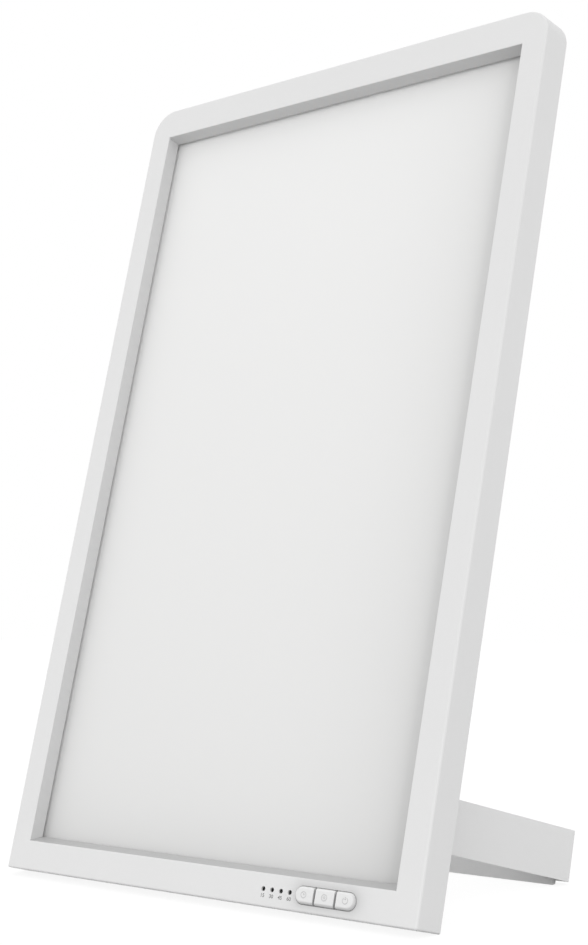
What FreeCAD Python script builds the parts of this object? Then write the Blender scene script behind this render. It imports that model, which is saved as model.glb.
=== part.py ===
# Light therapy lamp: a slim edge-lit panel that leans on a folding bent-steel stand.
#
# Every piece is modelled square to the panel and then leaned back into place. In that
# working frame X runs across the panel from its middle, Y runs from the front face to the
# back, and Z runs up the panel from its bottom edge. The part's own frame has +Z up from the
# table, +Y to the back and its origin on the table, midway across and midway front to back.
# All lengths are millimetres and all angles are degrees.

import FreeCAD, Part
import os
import re

import Sketcher

SIZES = {
    # panel outline and the moulded front frame
    "panel_width": 295.0,
    "panel_height": 501.5,
    "side_flare": 3.0,
    "corner_radius": 15.3,
    "side_border": 17.75,
    "top_border": 22.5,
    "bottom_border": 17.1,
    "shell_wall": 2.2,
    "front_edge_radius": 1.4,
    "base_edge_radius": 1.0,
    "rear_edge_radius": 0.3,
    "opening_edge_radius": 0.5,
    "recess_depth": 9.25,
    "sill_rise": 3.6,
    "lip_wall": 2.0,
    "flange_reach": 7.5,
    "flange_thickness": 2.0,
    "lean": 15.46,
    # the light stack behind the opening
    "diffuser_gap": 2.5,
    "diffuser_thickness": 1.5,
    "diffuser_overlap": 4.85,
    "gasket_width": 2.0,
    "guide_thickness": 2.0,
    "guide_overlap": 3.75,
    "reflector_thickness": 0.25,
    "stack_clearance": 0.05,
    "cover_thickness": 1.85,
    "cover_clearance": 0.6,
    # the light strips beside the light guide
    "diode_air_gap": 0.3,
    "diode_reach": 1.2,
    "diode_width": 1.6,
    "diode_length": 3.0,
    "strip_thickness": 1.0,
    "strip_front_gap": 0.95,
    "strip_back_gap": 0.25,
    "rail_thickness": 1.2,
    "rail_end_gap": 2.0,
    # screws that hold the rear cover
    "boss_radius": 3.6,
    "boss_inset": 6.35,
    "side_screw_inset": 18.5,
    "cover_screw_radius": 1.25,
    "cover_screw_length": 9.0,
    "cover_screw_head": 2.2,
    "cover_screw_head_height": 1.0,
    "screw_clearance": 0.05,
    "hole_clearance": 0.3,
    # keys, their switches and the indicator windows
    "keys_from_edge": 58.4,
    "key_axis_height": 8.7,
    "key_width": 11.6,
    "key_height": 9.0,
    "key_gap": 1.3,
    "key_clearance": 0.3,
    "key_proud": 1.3,
    "key_edge_radius": 1.4,
    "key_end_radius": 0.4,
    "key_travel": 0.8,
    "key_flange_reach": 0.8,
    "key_flange_thickness": 1.0,
    "key_back_gap": 0.15,
    "key_stem_radius": 1.8,
    "key_stem_length": 0.65,
    "plunger_radius": 1.1,
    "plunger_clearance": 0.05,
    "plunger_length": 1.6,
    "plunger_end_gap": 0.2,
    "switch_gap": 0.2,
    "switch_side": 4.5,
    "switch_body": 2.5,
    "window_radius": 1.25,
    "window_pitch": 5.75,
    "window_to_key": 3.95,
    "window_axis_height": 9.1,
    "window_depth": 1.0,
    "lens_clearance": 0.05,
    "lens_flange_radius": 2.2,
    "lens_flange_thickness": 0.8,
    "lens_to_diode": 0.4,
    "indicator_side": 2.0,
    "indicator_height": 1.1,
    "control_board_thickness": 1.2,
    "control_board_height": 8.6,
    "control_board_margin": 7.4,
    "control_boss_radius": 2.2,
    "control_boss_inset": 2.6,
    "control_screw_radius": 0.9,
    "control_screw_length": 4.5,
    "control_screw_head": 1.7,
    "control_screw_head_height": 1.1,
    # housing on the back: driver electronics, power inlet and hinges
    "housing_base": 6.0,
    "housing_top_rise": 38.0,
    "housing_back_rise": 26.0,
    "housing_back_drop": 24.0,
    "housing_wall": 2.5,
    "housing_margin": 0.6,
    "housing_edge_radius": 2.0,
    "vent_width": 2.2,
    "vent_length": 17.0,
    "vent_pitch": 5.5,
    "vent_side": 45.0,
    "vent_rise": 12.0,
    "driver_board_length": 118.0,
    "driver_board_height": 38.0,
    "driver_board_thickness": 1.6,
    "driver_standoff": 8.0,
    "driver_boss_radius": 3.2,
    "driver_boss_inset": 4.0,
    "driver_screw_radius": 1.4,
    "driver_screw_length": 7.0,
    "driver_screw_head": 2.7,
    "driver_screw_head_height": 1.8,
    "coil_radius": 7.0,
    "coil_height": 9.0,
    "capacitor_radius": 4.0,
    "capacitor_height": 10.5,
    "chip_side": 9.0,
    "chip_height": 1.6,
    "header_length": 10.0,
    "header_height": 4.6,
    "header_depth": 6.0,
    "control_header_depth": 2.5,
    "ribbon_width": 8.0,
    "ribbon_thickness": 0.5,
    "ribbon_from_cover": 0.75,
    "ribbon_height": 10.4,
    "ribbon_side": 52.0,
    "ribbon_drop": 6.5,
    "lead_side": 1.4,
    "lead_depth": 12.5,
    "lead_height": 12.2,
    "lead_to_wall": 5.95,
    "lead_entry_gap": 0.7,
    "lead_header_side": 34.0,
    "lead_drop": 2.5,
    "coil_side": 20.0,
    "coil_rise": 3.0,
    "capacitor_side": 8.0,
    "capacitor_pitch": 10.5,
    "capacitor_rise": 10.0,
    "chip_offset": 38.0,
    "chip_drop": 10.0,
    # power inlet
    "jack_to_bolt": 2.65,
    "jack_drop": 4.0,
    "jack_collar_radius": 5.4,
    "jack_collar_proud": 0.6,
    "jack_collar_clearance": 0.1,
    "jack_body_side": 11.0,
    "jack_body_depth": 9.0,
    "jack_bore_radius": 2.85,
    "jack_bore_depth": 9.5,
    "jack_pin_radius": 1.05,
    "jack_pin_setback": 1.0,
    "jack_nut_width": 14.0,
    "jack_nut_thickness": 2.4,
    # stand
    "plate_inset": 9.65,
    "arm_splay": 12.33,
    "arm_thickness": 2.5,
    "arm_height": 29.5,
    "arm_side_gap": 0.1,
    "stand_reach": 169.3,
    "bend_radius": 3.0,
    "ear_length": 18.0,
    "ear_bend_radius": 6.0,
    "fold_clearance": 1.0,
    "heel_gap": 0.3,
    "lift_gap": 1.0,
    "foot_depth": 7.1,
    "foot_height": 18.0,
    "foot_side_gap": 2.3,
    "foot_edge_radius": 0.4,
    "foot_end_radius": 5.0,
    "foot_pad_length": 60.0,
    "foot_pad_inset": 8.6,
    "foot_pad_depth": 4.4,
    "foot_pad_thickness": 1.5,
    "foot_pad_proud": 0.3,
    "foot_pad_clearance": 0.05,
    "foot_screw_spread": 85.0,
    "foot_screw_height": 9.0,
    "foot_screw_radius": 1.9,
    "foot_screw_length": 8.0,
    "foot_screw_head": 3.6,
    "foot_screw_head_height": 1.8,
    # hinge between the housing and the stand's arms
    "hinge_bolt_radius": 4.0,
    "hinge_thread_radius": 3.0,
    "hinge_head_radius": 6.5,
    "hinge_head_thickness": 1.4,
    "hinge_dome_radius": 0.9,
    "hinge_running_fit": 0.05,
    "hinge_seat_fit": 0.02,
    "hinge_bush_wall": 1.2,
    "hinge_washer_thickness": 1.0,
    "hinge_washer_radius": 8.5,
    "hinge_boss_radius": 9.0,
    "hinge_boss_length": 3.5,
    "hinge_nut_width": 10.0,
    "hinge_nut_thickness": 5.0,
    "hinge_thread_proud": 1.0,
}

# Whole numbers and the small overrun that lets a cut start clear of the face it opens.
SIDE_SCREWS = 5
STRIP_DIODES = 38
WINDOWS = 4
VENT_SLOTS = 7
CUT_MARGIN = 1.0

PLACES = {
    "half_width": "panel_width / 2",
    "front_half": "half_width - side_flare",
    "front_top": "panel_height - side_flare",
    "opening_half": "half_width - side_border",
    "opening_top": "panel_height - top_border",
    "sill_back": "bottom_border + sill_rise",
    "diffuser_front": "recess_depth + diffuser_gap",
    "guide_front": "diffuser_front + diffuser_thickness + stack_clearance",
    "reflector_front": "guide_front + guide_thickness + stack_clearance",
    "cover_front": "reflector_front + reflector_thickness + stack_clearance",
    "panel_depth": "cover_front + cover_thickness",
    "flare_angle": "atan(side_flare / panel_depth)",
    "hollow_front_half": "half_width - shell_wall"
                         " - side_flare * (panel_depth - shell_wall) / panel_depth",
    "diffuser_half": "opening_half + diffuser_overlap",
    "diffuser_low": "sill_back - diffuser_overlap",
    "diffuser_high": "opening_top + diffuser_overlap",
    "guide_half": "opening_half + guide_overlap",
    "guide_low": "sill_back - guide_overlap",
    "guide_high": "opening_top + guide_overlap",
    "diode_inner": "guide_half + diode_air_gap",
    "strip_inner": "diode_inner + diode_reach",
    "rail_inner": "strip_inner + strip_thickness",
    "rail_low": "diffuser_low + rail_end_gap",
    "rail_high": "diffuser_high - rail_end_gap",
    "cover_half": "half_width - shell_wall - cover_clearance",
    "cover_low": "shell_wall + cover_clearance",
    "cover_high": "panel_height - shell_wall - cover_clearance",
    "cover_corner": "corner_radius + side_flare - shell_wall - cover_clearance",
    "screw_side": "half_width - boss_inset",
    "screw_top": "panel_height - boss_inset",
    "screw_step": "(panel_height - 2 * side_screw_inset) / %d" % (SIDE_SCREWS - 1),
    # keys, windows and their board
    "key_row": "3 * key_width + 2 * key_gap",
    "keys_left": "half_width - keys_from_edge - key_row / 2",
    "key_step": "key_width + key_gap",
    "key_flange_front": "shell_wall + key_back_gap",
    "key_flange_back": "key_flange_front + key_flange_thickness",
    "key_back": "key_flange_back + key_stem_length",
    "switch_front": "key_back + key_travel + switch_gap",
    "control_front": "switch_front + switch_body",
    "control_back": "control_front + control_board_thickness",
    "window_first": "keys_left - window_to_key",
    "control_left": "window_first - %d * window_pitch - control_board_margin" % (WINDOWS - 1),
    "control_right": "keys_left + key_row + control_board_margin",
    "control_low": "key_axis_height - control_board_height / 2",
    "lens_back": "control_front - indicator_height - lens_to_diode",
    # how the leaned panel meets the table
    "table_lift": "rear_edge_radius * (sin(lean) + cos(lean) - 1)",
    "stand_low": "(stand_reach - panel_depth) * tan(lean) + table_lift / cos(lean)",
    "arm_low": "stand_low + lift_gap",
    "arm_high": "arm_low + arm_height",
    "pivot_up": "arm_low + arm_height / 2",
    "pivot_back": "panel_depth + fold_clearance + arm_height / 2",
    "heel": "arm_height / 2 + fold_clearance - heel_gap",
    "plate_half": "half_width - plate_inset",
    "plate_front": "stand_reach - arm_thickness",
    "arm_skew": "arm_thickness / cos(arm_splay)",
    "plate_inner_half": "plate_half - arm_thickness * tan(arm_splay) - arm_skew",
    "ear_back": "pivot_back + ear_length",
    "ear_outer": "plate_half - (stand_reach - ear_back) * tan(arm_splay)",
    "ear_inner": "ear_outer - arm_thickness",
    "ear_inner_back": "ear_back + arm_thickness * tan(arm_splay / 2)",
    "foot_front": "plate_front - foot_depth",
    "foot_middle": "plate_front - foot_depth / 2",
    "foot_half": "plate_half - (stand_reach - foot_front) * tan(arm_splay) - arm_skew"
                 " - foot_side_gap",
    "foot_pad_side": "foot_half - foot_pad_inset - foot_pad_length / 2",
    "bush_radius": "hinge_bolt_radius + hinge_running_fit + hinge_bush_wall",
    # housing
    "washer_outer": "ear_inner - arm_side_gap",
    "housing_half": "washer_outer - hinge_washer_thickness",
    "housing_back": "pivot_back + hinge_boss_radius + housing_margin",
    "housing_inner": "housing_back - housing_wall",
    "housing_top": "pivot_up + housing_top_rise",
    "low_slope": "(pivot_up - housing_back_drop - housing_base) / (housing_back - panel_depth)",
    "high_slope": "(housing_back_rise - housing_top_rise) / (housing_back - panel_depth)",
    "low_wall": "housing_wall * sqrt(1 + low_slope * low_slope)",
    "high_wall": "housing_wall * sqrt(1 + high_slope * high_slope)",
    "boss_end": "housing_half - housing_wall - hinge_boss_length",
    "bolt_end": "boss_end - hinge_nut_thickness - hinge_thread_proud",
    "driver_back": "housing_inner - driver_standoff",
    "driver_front": "driver_back - driver_board_thickness",
    "driver_low": "pivot_up - driver_board_height / 2",
    "ribbon_front": "cover_front + ribbon_from_cover",
    "lead_entry": "housing_half - housing_wall - lead_to_wall - lead_side / 2",
    "jack_side": "bolt_end - jack_to_bolt - jack_body_side / 2",
    "jack_up": "pivot_up - jack_drop",
    # the part's own frame: the leaned box is centred front to back and stands on the table
    "lean_back": "-(stand_reach * cos(lean) + arm_high * sin(lean)) / 2",
    "lean_up": "panel_depth * sin(lean) - table_lift",
}

WORD = re.compile(r"[a-z_]+")

doc = FreeCAD.newDocument("light_therapy_lamp")
nodes = []
starts = {}          # where each plain solid starts: across, depth and up, in formulas


# ---------------------------------------------------------------- sheets and formulas

def qualified(formula):
    """A formula in the words above, as FreeCAD reads it."""
    def with_sheet(match):
        word = match.group(0)
        if word in SIZES:
            return "sizes." + word
        if word in PLACES:
            return "places." + word
        return word
    return WORD.sub(with_sheet, str(formula))


def fill_sheet(name, rows, formulas):
    sheet = doc.addObject("Spreadsheet::Sheet", name)
    for row, (alias, content) in enumerate(rows.items(), start=1):
        cell = "B%d" % row
        sheet.set("A%d" % row, alias)
        sheet.set(cell, "=" + qualified(content) if formulas else str(content))
        sheet.setAlias(cell, alias)
    doc.recompute()
    return sheet


sizes = fill_sheet("sizes", SIZES, formulas=False)
places = fill_sheet("places", PLACES, formulas=True)
scratch = doc.addObject("Spreadsheet::Sheet", "scratch")


def number(formula):
    """The present value of a formula, to draw a sketch near its solved shape."""
    scratch.set("A1", "=" + qualified(formula))
    scratch.recompute()
    return float(scratch.get("A1"))


def bind(thing, prop, formula):
    thing.setExpression(prop, qualified(formula))


def lean_into_place(thing):
    """Put a finished piece where it stands: leaned back about X, on the table."""
    across, depth, upward = starts.get(thing.Name, ("0", "0", "0"))
    already_turned = " - 90" if thing.TypeId == "Part::Cylinder" else ""
    thing.Placement = FreeCAD.Placement(
        FreeCAD.Vector(0, 0, 0), FreeCAD.Rotation(FreeCAD.Vector(1, 0, 0), -1))
    bind(thing, "Placement.Base.x", across)
    bind(thing, "Placement.Base.y",
         "(%s) * cos(lean) + (%s) * sin(lean) + lean_back" % (depth, upward))
    bind(thing, "Placement.Base.z",
         "(%s) * cos(lean) - (%s) * sin(lean) + lean_up" % (upward, depth))
    bind(thing, "Placement.Rotation.Angle", "-lean" + already_turned)


def node(thing, label):
    """Register a finished piece as one named node of the part."""
    thing.Label = label
    lean_into_place(thing)
    nodes.append(thing)
    return thing


# ---------------------------------------------------------------- sketches and features

FRONT = "XZ_Plane"   # sketch x is across, sketch y is up the panel; depth grows along -normal
SIDE = "YZ_Plane"    # sketch x is depth, sketch y is up the panel; the normal is across
PLAN = "XY_Plane"    # sketch x is across, sketch y is depth; the normal is up the panel


def new_body(name):
    return doc.addObject("PartDesign::Body", name)


def plane_of(body, role):
    return next(f for f in body.Origin.OriginFeatures if f.Role == role)


def new_sketch(body, role, offset):
    """A sketch on a plane of the body, moved by the offset along +Y, +X or +Z."""
    sketch = body.newObject("Sketcher::SketchObject", "outline")
    sketch.AttachmentSupport = (plane_of(body, role), [""])
    sketch.MapMode = "FlatFace"
    along = "-(%s)" % offset if role == FRONT else offset
    bind(sketch, "AttachmentOffset.Base.z", along)
    return sketch


def pin_point(sketch, geometry, end, across, upward, name):
    """Tie a sketch point to its two formulas; None leaves that direction free."""
    for kind, formula in (("DistanceX", across), ("DistanceY", upward)):
        if formula is None:
            continue
        label = name + kind[-1]
        index = sketch.addConstraint(
            Sketcher.Constraint(kind, -1, 1, geometry, end, number(formula)))
        sketch.renameConstraint(index, label)
        bind(sketch, "Constraints." + label, formula)


def add_loop(sketch, path, tag):
    """Close one loop of corners; a corner with a centre is reached by an arc about it.

    Each entry is (across, up) or (across, up, centre_across, centre_up), in formulas, and
    arcs run counter-clockwise.
    """
    ends = [FreeCAD.Vector(number(p[0]), number(p[1]), 0) for p in path]
    indices = []
    for i, entry in enumerate(path):
        start, end = ends[i - 1], ends[i]
        if len(entry) == 2:
            shape = Part.LineSegment(start, end)
        else:
            centre = FreeCAD.Vector(number(entry[2]), number(entry[3]), 0)
            x_axis = FreeCAD.Vector(1, 0, 0)
            normal = FreeCAD.Vector(0, 0, 1)
            circle = Part.Circle(centre, normal, (end - centre).Length)
            first = (start - centre).getAngle(x_axis) * (1 if start.y >= centre.y else -1)
            last = (end - centre).getAngle(x_axis) * (1 if end.y >= centre.y else -1)
            shape = Part.ArcOfCircle(circle, first, last)
        indices.append(sketch.addGeometry(shape, False))
    for i, index in enumerate(indices):
        following = indices[(i + 1) % len(indices)]
        sketch.addConstraint(Sketcher.Constraint("Coincident", index, 2, following, 1))
    for i, (entry, index) in enumerate(zip(path, indices)):
        name = "%s%d" % (tag, i)
        if len(entry) == 2:
            pin_point(sketch, index, 2, entry[0], entry[1], name)
            continue
        pin_point(sketch, index, 3, entry[2], entry[3], name + "c")
        centre = FreeCAD.Vector(number(entry[2]), number(entry[3]), 0)
        reach = ends[i] - centre
        if abs(reach.x) > abs(reach.y):
            pin_point(sketch, index, 2, None, entry[1], name)
        else:
            pin_point(sketch, index, 2, entry[0], None, name)


def outline(body, role, offset, *paths):
    sketch = new_sketch(body, role, offset)
    for i, path in enumerate(paths):
        add_loop(sketch, path, "abcdefgh"[i])
    return sketch


def add_circles(sketch, rounds):
    """Circles as (across, up, radius) formulas."""
    for i, (across, upward, radius) in enumerate(rounds):
        centre = FreeCAD.Vector(number(across), number(upward), 0)
        circle = Part.Circle(centre, FreeCAD.Vector(0, 0, 1), number(radius))
        index = sketch.addGeometry(circle, False)
        pin_point(sketch, index, 3, across, upward, "r%d" % i)
        label = "radius%d" % i
        constraint = sketch.addConstraint(Sketcher.Constraint("Radius", index, number(radius)))
        sketch.renameConstraint(constraint, label)
        bind(sketch, "Constraints." + label, radius)


def circles(body, role, offset, rounds):
    sketch = new_sketch(body, role, offset)
    add_circles(sketch, rounds)
    return sketch


def box_path(left, right, low, high):
    return [(left, low), (right, low), (right, high), (left, high)]


def mirrored_box(half, low, high):
    return box_path("-(%s)" % half, half, low, high)


def arched_box(half, low, high, radius):
    """A mirrored box whose two top corners are round."""
    side = "((%s) - (%s))" % (half, radius)
    level = "((%s) - (%s))" % (high, radius)
    return [("-(%s)" % half, low), (half, low), (half, level), (side, high, side, level),
            ("-" + side, high), ("-(%s)" % half, level, "-" + side, level)]


def grow(body, sketch, length, reverse=False, both_ways=False, flare=None):
    """Pad a sketch towards +Y on FRONT, +X on SIDE and +Z on PLAN, or the reverse.

    With a flare angle the pad widens as it goes.
    """
    pad = body.newObject("PartDesign::Pad", "pad")
    pad.Profile = sketch
    bind(pad, "Length", length)
    on_front = sketch.AttachmentSupport[0][0].Role == FRONT
    pad.Reversed = on_front != reverse
    pad.SideType = "Symmetric" if both_ways else "One side"
    if flare:
        bind(pad, "TaperAngle", flare)
    doc.recompute()
    return pad


def cut(body, sketch, length, reverse=False, both_ways=False, flare=None):
    """Pocket a sketch towards +Y on FRONT, +X on SIDE and +Z on PLAN, or the reverse.

    With a flare angle the pocket widens as it goes, or narrows if the angle is negative.
    """
    before = body.Shape.Volume
    pocket = body.newObject("PartDesign::Pocket", "pocket")
    pocket.Profile = sketch
    bind(pocket, "Length", length)
    on_front = sketch.AttachmentSupport[0][0].Role == FRONT
    pocket.Reversed = on_front == reverse
    pocket.SideType = "Symmetric" if both_ways else "One side"
    if flare:
        bind(pocket, "TaperAngle", flare)
    doc.recompute()
    if body.Shape.Volume > before - 1e-6:
        raise RuntimeError("%s: %s removes nothing" % (body.Name, pocket.Name))
    return pocket


def edges_where(shape, wanted, unwanted):
    """Names of the edges whose ends and midpoint all pass one test and not all the other."""
    found = []
    for i, edge in enumerate(shape.Edges, start=1):
        middle = edge.valueAt((edge.FirstParameter + edge.LastParameter) / 2)
        points = [v.Point for v in edge.Vertexes] + [middle]
        if all(wanted(p) for p in points) and not all(unwanted(p) for p in points):
            found.append("Edge%d" % i)
    return found


def round_edges(body, radius, wanted, unwanted=lambda p: False):
    base = body.Tip
    names = edges_where(base.Shape, wanted, unwanted)
    if not names:
        raise RuntimeError("%s: no edge to round" % body.Name)
    fillet = body.newObject("PartDesign::Fillet", "fillet")
    fillet.Base = (base, names)
    bind(fillet, "Radius", radius)
    doc.recompute()
    return fillet


def mirror(body, features):
    """Repeat features on the other side of the panel's middle."""
    copy = body.newObject("PartDesign::Mirrored", "mirrored")
    copy.Originals = features
    copy.MirrorPlane = (plane_of(body, SIDE), [""])
    body.Tip = copy
    doc.recompute()
    return copy


def repeat(body, features, axis_role, step, count):
    copy = body.newObject("PartDesign::LinearPattern", "row")
    copy.Originals = features
    copy.Direction = (plane_of(body, axis_role), [""])
    copy.Mode = "Spacing"
    bind(copy, "Offset", step)
    copy.Occurrences = count
    body.Tip = copy
    doc.recompute()
    return copy


def near(value, formula):
    return abs(value - number(formula)) < 1e-4


# ---------------------------------------------------------------- plain solids

def block(name, left, right, front, back, low, high):
    """A Part::Box between six formulas."""
    box = doc.addObject("Part::Box", name)
    bind(box, "Length", "(%s) - (%s)" % (right, left))
    bind(box, "Width", "(%s) - (%s)" % (back, front))
    bind(box, "Height", "(%s) - (%s)" % (high, low))
    bind(box, "Placement.Base.x", left)
    bind(box, "Placement.Base.y", front)
    bind(box, "Placement.Base.z", low)
    starts[box.Name] = (left, front, low)
    return box


def rod(name, radius, length, across, depth, upward):
    """A Part::Cylinder from a point towards +Y."""
    cylinder = doc.addObject("Part::Cylinder", name)
    cylinder.Placement = FreeCAD.Placement(
        FreeCAD.Vector(0, 0, 0), FreeCAD.Rotation(FreeCAD.Vector(1, 0, 0), -90))
    bind(cylinder, "Radius", radius)
    bind(cylinder, "Height", length)
    bind(cylinder, "Placement.Base.x", across)
    bind(cylinder, "Placement.Base.y", depth)
    bind(cylinder, "Placement.Base.z", upward)
    starts[cylinder.Name] = (across, depth, upward)
    return cylinder


def joined(name, pieces):
    whole = doc.addObject("Part::MultiFuse", name)
    whole.Shapes = pieces
    whole.Refine = True
    return whole


def without(name, base, tool):
    rest = doc.addObject("Part::Cut", name)
    rest.Base = base
    rest.Tool = tool
    return rest


def group(name, pieces):
    """Separate solids that share one node."""
    together = doc.addObject("Part::Compound", name)
    together.Links = pieces
    return together


def screw(name, across, seat, upward, shank, length, head, head_height, to_front):
    """A pan-head screw whose head sits on a plane at depth seat; it drives to front or back."""
    if to_front:
        shank_start = "(%s) - (%s)" % (seat, length)
        head_start = seat
        socket_start = "(%s) + (%s) / 2" % (seat, head_height)
    else:
        shank_start = seat
        head_start = "(%s) - (%s)" % (seat, head_height)
        socket_start = head_start
    stem = rod(name + "_stem", shank, length, across, shank_start, upward)
    cap = rod(name + "_cap", head, head_height, across, head_start, upward)
    socket = rod(name + "_socket", "(%s) * 0.45" % head, "(%s) / 2" % head_height,
                 across, socket_start, upward)
    return without(name, joined(name + "_blank", [stem, cap]), socket)


# ---------------------------------------------------------------- where things repeat

def side_screw_heights():
    return ["side_screw_inset + %d * screw_step" % i for i in range(SIDE_SCREWS)]


def cover_screw_points():
    """Down both sides of the panel and one at the top middle."""
    sides = [(side, z) for side in ("-(screw_side)", "screw_side") for z in side_screw_heights()]
    return sides + [("0", "screw_top")]


def key_lefts():
    return ["keys_left + %d * key_step" % i for i in range(3)]


def key_centres():
    return ["(%s) + key_width / 2" % left for left in key_lefts()]


def window_centres():
    return ["window_first - %d * window_pitch" % i for i in range(WINDOWS)]


def control_boss_points():
    return ["control_left + control_boss_inset", "control_right - control_boss_inset"]


def driver_boss_points():
    reach = "driver_board_length / 2 - driver_boss_inset"
    low = "driver_low + driver_boss_inset"
    high = "driver_low + driver_board_height - driver_boss_inset"
    return [(x, z) for x in ("-(%s)" % reach, reach) for z in (low, high)]


def foot_screw_points():
    return ["-foot_screw_spread", "0", "foot_screw_spread"]


# ---------------------------------------------------------------- panel mouldings

def make_front_frame():
    """One moulding: the border, its side walls, the recess walls and the screw bosses."""
    body = new_body("front_frame_body")
    border = arched_box("front_half", "0", "front_top", "corner_radius")
    grow(body, outline(body, FRONT, "0", border), "panel_depth", flare="flare_angle")
    below = box_path("-%g" % CUT_MARGIN, "panel_depth + %g" % CUT_MARGIN,
                     "-side_flare - %g" % CUT_MARGIN, "0")
    cut(body, outline(body, SIDE, "0", below), "panel_width + %g" % CUT_MARGIN, both_ways=True)
    half = number("front_half")
    round_edges(body, "front_edge_radius",
                lambda p: near(p.y, "0") and not (near(p.z, "0") and abs(p.x) < half - 1))
    round_edges(body, "base_edge_radius",
                lambda p: near(p.z, "0") and near(p.y, "0") and abs(p.x) < half)
    round_edges(body, "rear_edge_radius", lambda p: near(p.y, "panel_depth"))

    hollow = arched_box("half_width - shell_wall", "shell_wall", "panel_height - shell_wall",
                        "corner_radius + side_flare - shell_wall")
    cut(body, outline(body, FRONT, "panel_depth", hollow), "panel_depth - shell_wall",
        reverse=True, flare="-flare_angle")
    level = mirrored_box("hollow_front_half", "shell_wall", "bottom_border - lip_wall")
    cut(body, outline(body, FRONT, "panel_depth", level), "panel_depth - shell_wall",
        reverse=True)

    lip = mirrored_box("opening_half + lip_wall", "bottom_border - lip_wall",
                       "opening_top + lip_wall")
    grow(body, outline(body, FRONT, "shell_wall - lip_wall / 4", lip),
         "recess_depth - shell_wall + lip_wall / 4")
    flange = mirrored_box("opening_half + flange_reach", "sill_back - flange_reach",
                          "opening_top + flange_reach")
    grow(body, outline(body, FRONT, "recess_depth - flange_thickness", flange),
         "flange_thickness")

    bosses = [(x, z, "boss_radius") for x, z in cover_screw_points()]
    grow(body, circles(body, FRONT, "shell_wall", bosses), "cover_front - shell_wall")
    small = [(x, "key_axis_height", "control_boss_radius") for x in control_boss_points()]
    grow(body, circles(body, FRONT, "shell_wall", small), "control_front - shell_wall")

    opening = [("-%g" % CUT_MARGIN, "bottom_border"), ("0", "bottom_border"),
               ("recess_depth", "sill_back"), ("recess_depth + %g" % CUT_MARGIN, "sill_back"),
               ("recess_depth + %g" % CUT_MARGIN, "opening_top"),
               ("-%g" % CUT_MARGIN, "opening_top")]
    cut(body, outline(body, SIDE, "0", opening), "2 * opening_half", both_ways=True)
    round_edges(body, "opening_edge_radius",
                lambda p: near(p.y, "0") and abs(p.x) < number("opening_half") + 0.01
                and number("bottom_border") - 0.01 < p.z < number("opening_top") + 0.01)

    pilots = [(x, z, "cover_screw_radius + screw_clearance") for x, z in cover_screw_points()]
    cut(body, circles(body, FRONT, "cover_front", pilots), "cover_screw_length", reverse=True)
    small = [(x, "key_axis_height", "control_screw_radius + screw_clearance")
             for x in control_boss_points()]
    cut(body, circles(body, FRONT, "control_front", small),
        "control_screw_length - control_board_thickness + screw_clearance", reverse=True)

    cut(body, outline(body, FRONT, "-%g" % CUT_MARGIN, key_slot_path()),
        "shell_wall + %g" % (2 * CUT_MARGIN))
    rounds = [(x, "window_axis_height", "window_radius") for x in window_centres()]
    cut(body, circles(body, FRONT, "-%g" % CUT_MARGIN, rounds),
        "shell_wall + %g" % (2 * CUT_MARGIN))
    return node(body, "front_frame")


def key_slot_path():
    """The pill-shaped slot that the three keys share."""
    left = "keys_left - key_clearance"
    right = "keys_left + key_row + key_clearance"
    radius = "(key_height / 2 + key_clearance)"
    middle = "key_axis_height"
    low = "%s - %s" % (middle, radius)
    high = "%s + %s" % (middle, radius)
    left_centre = "%s + %s" % (left, radius)
    right_centre = "%s - %s" % (right, radius)
    return [(left_centre, low, left_centre, middle), (right_centre, low),
            (right_centre, high, right_centre, middle), (left_centre, high)]


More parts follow.
